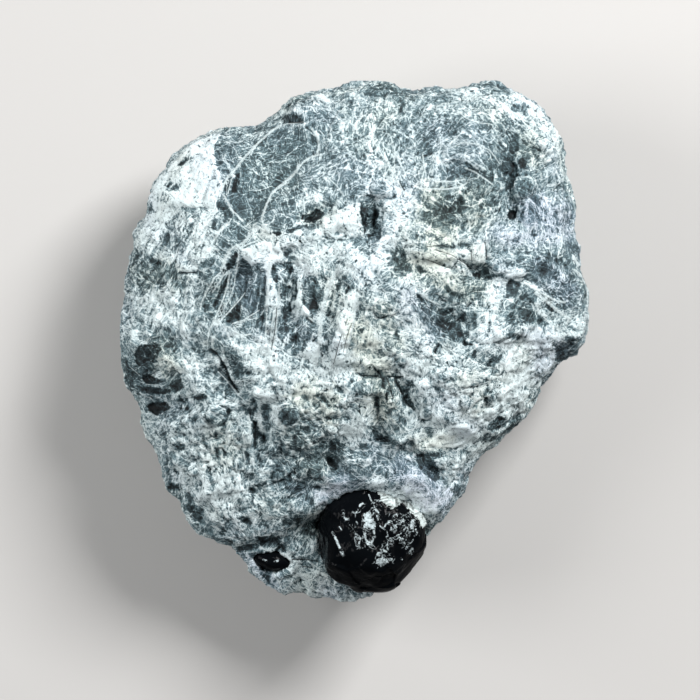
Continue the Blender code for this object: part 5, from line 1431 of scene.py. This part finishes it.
def shape_matrix(obj, look):
    """Gives the block its broken, knobbly relief and the hollows of the marks."""
    points = coordinates(obj.data)
    leading = normals(obj.data)
    shown = show_from_above(points, leading)
    plan = plan_of(points)
    bent = plan + drift(points, 3.0, 4.0)[:, :2] * 0.5
    uneven = waves(points, 1.1, 17.0, 2) * 0.55
    knobby = np.full(len(points), 0.55)
    for strength, half_width, *stroke in GROUND:
        picked, full = cover(bent, half_width, stroke, 4.0)
        knobby[picked] += (0.5 + 0.5 * strength - knobby[picked]) * full * shown[picked]

    shifted = points + drift(points, 6.0, 1.0) * 1.4
    first, second, within, tilts = cells(shifted, 7.0, 2.0)
    facets = (np.sin(tilts[:, 0] * 3) * within[:, 0] + np.sin(tilts[:, 1] * 3) * within[:, 1]) * 0.9
    facets += smooth(second - first, 0.0, 0.12) * 0.3 - 0.25
    first, second, within, tilts = cells(points + drift(points, 2.4, 7.0) * 0.8, 3.1, 5.0)
    knobs = 0.55 - first**2 * 1.5 + (smooth(second - first, 0.0, 0.2) - 0.8) * 0.35
    chips = np.sin(tilts[:, 0] * 3) * within[:, 1] + np.sin(tilts[:, 1] * 3) * within[:, 2]
    first, second, within, tilts = cells(points + drift(points, 1.1, 9.0) * 0.4, 1.35, 8.0)
    crumbs = (smooth(second - first, 0.0, 0.3) - 0.6) * 0.5 + np.sin(tilts[:, 0] * 3) * within[:, 0] * 0.6
    steps = waves(points, 5.0, 3.0, 3) * 2.2
    terraces = np.floor(steps) + smooth(steps - np.floor(steps), 0.36, 0.64) - steps

    rough = 0.25 + 0.75 * knobby
    rise = facets * 0.7 * rough + knobs * 0.42 * knobby + chips * 0.34 * rough + crumbs * 0.15 * rough
    rise += terraces * 0.55 * rough + waves(points, 2.2, 6.0, 3) * 0.16 + waves(points, 0.9, 2.0, 2) * 0.06
    rise += (0.30 - np.abs(waves(points, 9.0, 31.0, 2))) * 1.3 * rough
    rise += (0.30 - np.abs(waves(points, 3.6, 37.0, 2))) * 0.7 * rough
    rise *= look.roughness

    for tone, half_width, sink, *stroke in MARKS + PALE_MARKS:
        picked, full = cover(bent, half_width, stroke, 0.7 + half_width * 0.4, uneven)
        rise[picked] -= sink * 0.6 * full * shown[picked]
    for tone, *outline in PANELS:
        picked, distance = outline_field(plan, outline, PANEL_REACH)
        rise[picked] += (tone - 0.5) * look.relief * (1 - smooth(distance, -0.35, 0.15)) * shown[picked]
    for x, y, radius, stands, _, _ in BALLS:
        share = np.hypot(bent[:, 0] - x, bent[:, 1] - y) / radius
        dome = np.sqrt(np.clip(1 - share**2, 0, 1)) * stands - np.exp(-(((share - 1.12) / 0.16) ** 2)) * 0.35
        rise += np.where(share < 1.8, dome, 0.0) * shown
    for lines, lift, width in ((VEINS, 0.12, 0.35), (CRACKS, -0.35, 0.30)):
        nearest = line_field(plan, shown > 0.5, lines)[2]
        rise += lift * (1 - smooth(nearest, 0.0, width)) * shown
    for strength, turn, half_width, *stroke in STREAKS:
        picked, full = cover(bent, half_width, stroke, 3.0)
        angle = math.radians(turn)
        across = plan[picked] @ np.array((-math.sin(angle), math.cos(angle)))
        ahead = plan[picked] @ np.array((math.cos(angle), math.sin(angle)))
        lengthwise = np.stack((ahead / 7.0, across / 1.0, points[picked, 2] / 6.0), axis=1)
        rise[picked] += waves(lengthwise, 1.0, 3.0, 2) * 0.26 * strength * full * shown[picked]

    rise -= np.clip(waves(points, 5.5, 41.0, 3), -0.2, 1) * 0.7 * (1 - shown)
    low = smooth(points[:, 2], 0.3, 2.5)
    rise = np.clip(rise, -2.6, 1.1) * low
    box_low, box_high = (np.array(corner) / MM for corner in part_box("matrix"))
    moved = points + leading * rise[:, None]
    moved = np.clip(moved, box_low, box_high)
    moved[:, 2] = np.where(points[:, 2] < 0.2, np.minimum(points[:, 2], moved[:, 2]), moved[:, 2])
    set_coordinates(obj.data, moved)


def show_from_above(points, leading):
    """1 where a place is seen from above, fading to 0 on the steep sides and underneath."""
    return smooth(points[:, 2], 11.0, 17.0) * smooth(leading[:, 2], 0.0, 0.3)


def thin_out(obj, faces):
    """Merges small faces, mostly on the sides and underneath."""
    points = coordinates(obj.data)
    group = obj.vertex_groups.new(name="plain")
    plain = 1 - 0.75 * smooth(points[:, 2], 12.0, 20.0)
    for level in np.unique(np.round(plain, 1)):
        members = np.nonzero(np.round(plain, 1) == level)[0]
        group.add(members.tolist(), float(level), "REPLACE")
    triangles = sum(len(face.vertices) - 2 for face in obj.data.polygons)
    decimate = obj.modifiers.new("thin_out", "DECIMATE")
    decimate.ratio = min(1.0, faces / triangles)
    decimate.vertex_group = group.name
    decimate.vertex_group_factor = 1.0
    apply_modifiers(obj)
    obj.vertex_groups.clear()
    return obj


# Layers of thin lines all over: name, bunches, longest, widest half width, a seed and how strong
STRANDS = (("long_strand", 230, 24.0, 0.15, 5, 0.26), ("short_strand", 330, 10.0, 0.12, 8, 0.22))


BROAD_STRENGTH = 0.90


def paint_matrix(obj):
    """Lays the marks on the finished shape as numbers that the material reads."""
    mesh = obj.data
    points = coordinates(mesh)
    leading = normals(mesh)
    plan = plan_of(points)
    eased, eased_leading = smoothed(obj, 24)
    # How far each place stands out of the smoothed surface; the material paints shade in the hollows and light on the
    # crests from it
    cavity = np.einsum("ij,ij->i", points - eased, leading)
    shown = show_from_above(eased, eased_leading) * smooth(leading[:, 2], -0.2, 0.1)

    tone = 0.50 + 0.08 * waves(points, 9.0, 21.0, 3) + 0.03 * waves(points, 3.5, 5.0, 2)
    wide = plan + drift(points, 4.0, 12.0)[:, :2] * 1.3 + drift(points, 1.5, 2.0)[:, :2] * 0.4
    tight = plan + drift(points, 1.8, 14.0)[:, :2] * 0.5
    uneven = waves(points, 1.1, 17.0, 3) * 0.7
    for goal, half_width, *stroke in BROAD_TONES:
        picked, full = cover(wide, half_width, stroke, 2.6, uneven)
        eased_goal = 0.5 + (goal - 0.5) * BROAD_STRENGTH
        tone[picked] += (eased_goal - tone[picked]) * full * shown[picked]
    edge, lift = np.full(len(points), PANEL_REACH), np.zeros(len(points))
    for goal, *outline in PANELS:
        picked, distance = outline_field(plan, outline, PANEL_REACH)
        picked, distance = picked[distance < PANEL_REACH], distance[distance < PANEL_REACH]
        tone[picked] += lift[picked] * (edge[picked] < 0)
        edge[picked] = distance
        lift[picked] = (goal - tone[picked]) * shown[picked]
    for goal, half_width, _, *stroke in MARKS + PALE_MARKS:
        picked, full = cover(tight, half_width, stroke, 0.6, uneven)
        full = full * shown[picked]
        tone[picked] += (goal - tone[picked]) * full
        lift[picked] *= 1 - full
    for x, y, radius, _, inside, ring in BALLS:
        share = np.hypot(tight[:, 0] - x, tight[:, 1] - y) / radius
        rim = np.exp(-(((share - 1.15) * radius / 0.28) ** 2)) * shown * 0.8
        full = (1 - smooth(share, 0.7, 1.05)) * shown
        tone += (ring - tone) * rim
        tone += (inside - tone) * full
        lift *= (1 - rim) * (1 - full)
    streak, streak_turn = np.full(len(points), 0.15), np.full(len(points), 1.2)
    for strength, turn, half_width, *stroke in STREAKS:
        picked, full = cover(wide, half_width, stroke, 3.0)
        full = full * strength * shown[picked]
        stronger = full > streak[picked]
        streak[picked[stronger]] = full[stronger]
        streak_turn[picked[stronger]] = math.radians(turn)
    tints = {}
    for name, rows in (("warm", WARM_TINTS), ("lilac", LILAC_TINTS)):
        tints[name] = np.clip(waves(points, 11.0, len(name), 2) * 0.5, 0, 0.5)
        for strength, half_width, *stroke in rows:
            picked, full = cover(wide, half_width, stroke, 4.5, uneven)
            tints[name][picked] = np.maximum(tints[name][picked], strength * full * shown[picked])
    values = {
        "tone": tone,
        "panel_edge": edge,
        "panel_lift": lift,
        "cavity": np.clip(cavity * 1.1, -0.5, 0.35),
        "streak": streak,
        "streak_turn": streak_turn,
        **tints,
    }
    for name, numbers in values.items():
        add_numbers(mesh, name, numbers)
    for name, rows in (("vein", VEINS), ("crack", CRACKS)):
        field, far, _ = line_field(plan, shown > 0.4, rows)
        add_numbers(mesh, name, field, "FLOAT_VECTOR")
        add_numbers(mesh, f"{name}_far", far)
    for name, count, longest, thickest, seed, _ in STRANDS:
        field, far = strand_field(points, grow_strands(eased, leading, count, longest, thickest, seed))
        add_numbers(mesh, name, field, "FLOAT_VECTOR")
        add_numbers(mesh, f"{name}_far", far)


# ---------------------------------------------------------------- obsidian
def obsidian_material(look):
    """Jet-black glass with frosted, weathered marks, painted glints and a painted reflection, and fine flow lines."""
    material, tree, shader = new_material("obsidian")
    groups = shared_groups()
    place = place_in_mm(tree)
    # Frosted lines and painted glints, and the painted reflection on the left facet, all drawn in the frost colour
    lines = use_group(
        tree, groups["lines"], Offset=attribute(tree, "frost_and_glint", "Vector"), Far=attribute(tree, "frost_and_glint_far"),
        Place=place, Raggedness=1.1,
    )["Mask"]
    flow = use_group(
        tree, groups["lines"], Offset=attribute(tree, "flow", "Vector"), Far=attribute(tree, "flow_far"),
        Place=place, Raggedness=0.6,
    )["Mask"]
    grit = use_group(tree, groups["grit"], Place=place, Scale=2.4)
    ragged = noise_value(tree, place, 0.85, 5.0, 0.66, 1.2)
    broken = stepped(tree, ragged, 0.44, 0.56)
    frosting = attribute(tree, "frosting")
    edge = maths(tree, "SUBTRACT", 0.86, maths(tree, "MULTIPLY", frosting, 0.50))
    ragged_patch = stepped(tree, maths(tree, "SUBTRACT", ragged, edge), -0.03, 0.05)
    web = use_group(tree, groups["web"], Place=place, Scale=0.55, Width=0.04)["Mask"]
    webbed = maths(tree, "MULTIPLY", maths(tree, "MULTIPLY", web, stepped(tree, frosting, 0.1, 0.5)), broken)
    frost_and_glint = maths(tree, "MAXIMUM", maths(tree, "MULTIPLY", lines, broken), maths(tree, "MAXIMUM", ragged_patch, webbed))
    frost_and_glint = maths(tree, "MULTIPLY", frost_and_glint, maths(tree, "ADD", grit["Tone"], 0.35, clamp=True))
    chipped = maths(tree, "SUBTRACT", noise_value(tree, place, 0.9, 4.0, 0.7), 0.5)
    crust_edge = maths(tree, "ADD", attribute(tree, "crust_edge"), maths(tree, "MULTIPLY", chipped, 2.6))
    lap = maths(tree, "SUBTRACT", 1.0, stepped(tree, crust_edge, -0.06, 0.10))
    felt = use_group(tree, groups["felt"], Place=place, Mats=0.3, Fibres=1.6, Width=0.06)
    chalky = maths(tree, "MULTIPLY", maths(tree, "ADD", felt["Hatch"], felt["Mask"]), 0.5)
    blotches = stepped(tree, noise_value(tree, place, 0.7, 4.0, 0.7), 0.30, 0.62)
    chalky = maths(tree, "ADD", chalky, maths(tree, "MULTIPLY", blotches, 0.75), clamp=True)
    # The frost colour paints the frosted marks and the painted glints and reflection alike
    colour = blend_colours(tree, frost_and_glint, (*look.glass, 1.0), (*look.frost_and_glint, 1.0))
    crust = blend_colours(tree, chalky, [0.14 * part for part in look.crust] + [1.0], (*look.crust, 1.0))
    colour = blend_colours(tree, lap, colour, crust)
    frost_and_glint = maths(tree, "MAXIMUM", frost_and_glint, maths(tree, "MULTIPLY", lap, chalky), clamp=True)
    tree.links.new(colour, shader.inputs["Base Color"])
    gloss = maths(tree, "ADD", look.gloss, maths(tree, "MULTIPLY", noise_value(tree, place, 0.7, 3.0), 0.07))
    tree.links.new(maths(tree, "ADD", gloss, maths(tree, "MULTIPLY", frost_and_glint, 0.5), clamp=True), shader.inputs["Roughness"])
    shader.inputs["IOR"].default_value = 1.49
    shader.inputs["Specular IOR Level"].default_value = 0.04
    height = maths(tree, "ADD", maths(tree, "MULTIPLY", frost_and_glint, 0.10), maths(tree, "MULTIPLY", flow, -0.16))
    ripple = noise_value(tree, place, 0.9, 2.0, 0.5, 0.4)
    height = maths(tree, "ADD", height, maths(tree, "MULTIPLY", ripple, 0.10))
    bump = place_node(tree, "ShaderNodeBump", Height=height, Strength=0.8, Distance=MM)
    tree.links.new(bump.outputs["Normal"], shader.inputs["Normal"])
    return material


def shape_nodule(obj, node, seed, depth):
    """Dimples and low swells in the glass."""
    points = coordinates(obj.data)
    leading = normals(obj.data)
    first, second, _, _ = cells(points + drift(points, 4.0, seed) * 1.0, 4.4, seed)
    rise = -0.30 * smooth(0.62 - first, 0.0, 0.5) + 0.12
    first, second, within, tilts = cells(points + drift(points, 3.0, seed + 2) * 0.8, 6.0, seed + 1)
    rise += (np.sin(tilts[:, 0] * 3) * within[:, 0] + np.sin(tilts[:, 1] * 3) * within[:, 1]) * 0.5
    rise += waves(points, 2.6, seed, 2) * 0.10 + waves(points, 0.9, seed, 2) * 0.02
    shown = smooth(leading[:, 2], 0.0, 0.2)
    first, second, within, tilts = cells(points + drift(points, 1.2, 4.0) * 0.5, 1.5, seed + 5)
    pits = (smooth(first, 0.1, 0.7) - 0.6) * 0.30 + np.sin(tilts[:, 0] * 3) * within[:, 1] * 0.25
    pitted = np.zeros(len(points))
    for strength, half_width, *stroke in FROST_PATCHES:
        picked, full = cover(plan_of(points), half_width + 0.4, stroke, 1.6)
        pitted[picked] = np.maximum(pitted[picked], full)
    rise += pits * pitted * shown
    for outline in LAPS:
        picked, distance = outline_field(plan_of(points), outline, PANEL_REACH)
        rise[picked] += (0.5 + pits[picked]) * (1 - smooth(distance, -0.5, 0.2)) * shown[picked]
    for sink, half_width, *stroke in DIMPLES:
        picked, full = cover(plan_of(points), half_width, stroke, half_width)
        rise[picked] -= sink * full * shown[picked]
    low, high = (np.array(corner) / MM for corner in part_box(node))
    set_coordinates(obj.data, np.clip(points + leading * (rise * depth)[:, None], low, high))


def paint_nodule(obj):
    mesh = obj.data
    points = coordinates(mesh)
    shown = normals(mesh)[:, 2] > 0.05
    plan = plan_of(points)
    frosting = np.zeros(len(points))
    for strength, half_width, *stroke in FROST_PATCHES:
        picked, full = cover(plan + drift(points, 1.5, 3.0)[:, :2] * 0.5, half_width, stroke, 1.4)
        frosting[picked] = np.maximum(frosting[picked], strength * full * shown[picked])
    add_numbers(mesh, "frosting", frosting)
    crust_edge = np.full(len(points), PANEL_REACH)
    for outline in LAPS:
        picked, distance = outline_field(plan, outline, PANEL_REACH)
        crust_edge[picked] = np.where(normals(mesh)[picked, 2] > -0.1, distance, PANEL_REACH)
    add_numbers(mesh, "crust_edge", np.minimum(crust_edge, PANEL_REACH))
    # The frost rows hold frosted lines and the painted glints and reflection
    for name, rows in (("frost_and_glint", FROST_AND_GLINT_LINES), ("flow", FLOW_LINES)):
        field, far, _ = line_field(plan, shown, rows)
        add_numbers(mesh, name, field, "FLOAT_VECTOR")
        add_numbers(mesh, f"{name}_far", far)


def dress(obj, node, material):
    obj.data.materials.clear()
    obj.data.materials.append(material)
    obj.data.shade_smooth()
    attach(obj, "root")
    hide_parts(node)


# ---------------------------------------------------------------- what a user may change
def colour_property(name, description, default):
    return bpy.props.FloatVectorProperty(
        name=name, description=description, default=default, size=3, min=0.0, max=1.0, subtype="COLOR"
    )


class ApachePerlite(bpy.types.PropertyGroup):
    """Finish of the matrix"""

    glass: colour_property("Glass", "Darkest, glassy rock", (0.004, 0.006, 0.007))
    slate: colour_property("Slate", "Bare grey rock", (0.122, 0.190, 0.213))
    chalk: colour_property("Chalk", "White crust and veins", (0.72, 0.82, 0.83))
    warm: colour_property("Warm tint", "What the warm patches are multiplied by", (1.0, 0.94, 0.84))
    lilac: colour_property("Lilac tint", "What the cool patches are multiplied by", (0.92, 0.90, 1.0))
    voxel: bpy.props.FloatProperty(
        name="Detail", description="Size of the surface's faces", default=0.00038, min=0.0002, unit="LENGTH",
        precision=5,
    )
    faces: bpy.props.IntProperty(name="Faces", description="Most triangles that are kept", default=196000)
    roughness: bpy.props.FloatProperty(
        name="Relief", description="Depth of the broken relief", default=1.0, subtype="FACTOR", max=2.0
    )
    relief: bpy.props.FloatProperty(
        name="Pane steps", description="How far the palest panes stand above the darkest, in mm", default=0.9
    )
    patchiness: bpy.props.FloatProperty(
        name="Patchiness", description="Strength of the patches", default=0.06, subtype="FACTOR"
    )
    grittiness: bpy.props.FloatProperty(
        name="Grit", description="Strength of the grains", default=0.18, subtype="FACTOR"
    )


class ApacheObsidian(bpy.types.PropertyGroup):
    """Finish of the nodules"""

    glass: colour_property("Glass", "The obsidian itself", (0.0022, 0.0028, 0.0036))
    # Colour of the frosted marks, which also paints the glints and the reflection on the nodules
    frost_and_glint: colour_property("Frost", "Weathered marks", (0.50, 0.58, 0.60))
    crust: colour_property("Crust", "Matrix that laps over the nodule", (0.62, 0.70, 0.69))
    gloss: bpy.props.FloatProperty(
        name="Roughness", description="Roughness of clean glass", default=0.06, subtype="FACTOR"
    )
    voxel: bpy.props.FloatProperty(
        name="Detail", description="Size of the large nodule's faces", default=0.00024, min=0.0001,
        unit="LENGTH", precision=5,
    )


class ApacheStage(bpy.types.PropertyGroup):
    """Floor, lamps and camera"""

    floor: colour_property("Floor", "Plain pale floor", (0.49, 0.477, 0.463))
    distance: bpy.props.FloatProperty(
        name="Camera distance", description="Camera to the widest level", default=1.5, unit="LENGTH"
    )
    view_width: bpy.props.FloatProperty(
        name="View width", description="Width seen at the widest level", default=0.14, unit="LENGTH"
    )
    key: bpy.props.FloatProperty(
        name="Key lamp", description="Power of the main soft lamp", default=7.2, subtype="POWER"
    )
    fill: bpy.props.FloatProperty(
        name="Fill lamp", description="Power of the second soft lamp", default=3.3, subtype="POWER"
    )
    sky: bpy.props.FloatProperty(name="Sky", description="Strength of the light all round", default=0.25)


# ---------------------------------------------------------------- operators
class APACHE_OT_matrix(bpy.types.Operator):
    """Make the perlite matrix"""

    bl_idname = "apache.matrix"
    bl_label = "Matrix"

    def execute(self, context):
        look = context.scene.apache_perlite
        obj = refined_copy("matrix", "perlite_matrix", look.voxel / MM, 10)
        shape_matrix(obj, look)
        thin_out(obj, look.faces)
        paint_matrix(obj)
        dress(obj, "matrix", perlite_material(look))
        return {"FINISHED"}


class APACHE_OT_nodules(bpy.types.Operator):
    """Make the obsidian nodules"""

    bl_idname = "apache.nodules"
    bl_label = "Nodules"

    def execute(self, context):
        look = context.scene.apache_obsidian
        glass = obsidian_material(look)
        rows = (
            ("apache_tear", "large_nodule", look.voxel, 3.0, 1.0),
            ("small_tear", "small_nodule", look.voxel / 2, 6.0, 0.35),
        )
        for node, name, voxel, seed, depth in rows:
            obj = refined_copy(node, name, voxel / MM, 12)
            shape_nodule(obj, node, seed, depth)
            paint_nodule(obj)
            dress(obj, node, glass)
        return {"FINISHED"}


def soft_lamp(name, power, size, place, target):
    data = bpy.data.lights.new(name, "AREA")
    data.shape = "SQUARE"
    data.size = size
    data.energy = power
    lamp = bpy.data.objects.new(name, data)
    lamp.location = place
    lamp.rotation_euler = (Vector(target) - Vector(place)).to_track_quat("-Z", "Y").to_euler()
    bpy.context.scene.collection.objects.link(lamp)
    return lamp


class APACHE_OT_stage(bpy.types.Operator):
    """Make the floor, the lamps and the camera"""

    bl_idname = "apache.stage"
    bl_label = "Stage"

    def execute(self, context):
        look = context.scene.apache_stage
        bpy.ops.mesh.primitive_plane_add(size=3.0, location=(0, 0, -0.0002))
        floor = context.object
        floor.name = "floor"
        material, tree, shader = new_material("floor")
        mirrored = tree.nodes.new("ShaderNodeLightPath").outputs["Is Glossy Ray"]
        share = maths(tree, "MULTIPLY", mirrored, 0.7)
        colour = blend_colours(tree, share, (*look.floor, 1.0), (0.0, 0.0, 0.0, 1.0))
        tree.links.new(colour, shader.inputs["Base Color"])
        shader.inputs["Roughness"].default_value = 0.9
        floor.data.materials.append(material)

        soft_lamp("key", look.key, 0.26, (0.34, 0.36, 0.5), (0, 0, 0.02))
        soft_lamp("fill", look.fill, 0.4, (-0.56, 0.06, 0.42), (0, 0, 0.02))
        world = bpy.data.worlds.new("sky")
        world.use_nodes = True
        world.node_tree.nodes["Background"].inputs["Color"].default_value = (0.93, 0.97, 1.0, 1.0)
        tree = world.node_tree
        mirrored = tree.nodes.new("ShaderNodeLightPath").outputs["Is Glossy Ray"]
        dim = maths(tree, "SUBTRACT", 1.0, maths(tree, "MULTIPLY", mirrored, 0.75))
        tree.links.new(maths(tree, "MULTIPLY", dim, look.sky), tree.nodes["Background"].inputs["Strength"])
        context.scene.world = world
        context.scene.view_settings.view_transform = "Standard"

        data = bpy.data.cameras.new("camera")
        data.sensor_width = 36.0
        data.lens = data.sensor_width * look.distance / look.view_width
        data.clip_end = 10.0
        camera = bpy.data.objects.new("camera", data)
        camera.location = (VIEW_MIDDLE[0] * MM, VIEW_MIDDLE[1] * MM, WAIST_HEIGHT * MM + look.distance)
        context.scene.collection.objects.link(camera)
        context.scene.camera = camera
        return {"FINISHED"}


class APACHE_PT_panel(bpy.types.Panel):
    """Sidebar panel with every setting and button"""

    bl_label = "Apache Tear in Matrix"
    bl_idname = "APACHE_PT_panel"
    bl_space_type = "VIEW_3D"
    bl_region_type = "UI"
    bl_category = "Apache Tear"

    def draw(self, context):
        for settings, operator in PANEL_ROWS:
            box = self.layout.box()
            group = getattr(context.scene, settings)
            for name in type(group).__annotations__:
                box.prop(group, name)
            box.operator(operator)


VIEW_MIDDLE = (-1.05, -1.6)
WAIST_HEIGHT = 19.0
SETTINGS = {"apache_perlite": ApachePerlite, "apache_obsidian": ApacheObsidian, "apache_stage": ApacheStage}
OPERATORS = (APACHE_OT_matrix, APACHE_OT_nodules, APACHE_OT_stage)
PANEL_ROWS = tuple(zip(SETTINGS, ("apache.matrix", "apache.nodules", "apache.stage")))


def register():
    for cls in (*SETTINGS.values(), *OPERATORS, APACHE_PT_panel):
        bpy.utils.register_class(cls)
    for name, cls in SETTINGS.items():
        setattr(bpy.types.Scene, name, bpy.props.PointerProperty(type=cls))


def unregister():
    for name in SETTINGS:
        delattr(bpy.types.Scene, name)
    for cls in reversed((*SETTINGS.values(), *OPERATORS, APACHE_PT_panel)):
        bpy.utils.unregister_class(cls)


def main():
    register()
    bpy.ops.apache.matrix()
    bpy.ops.apache.nodules()
    bpy.ops.apache.stage()


if __name__ == "__main__":
    main()
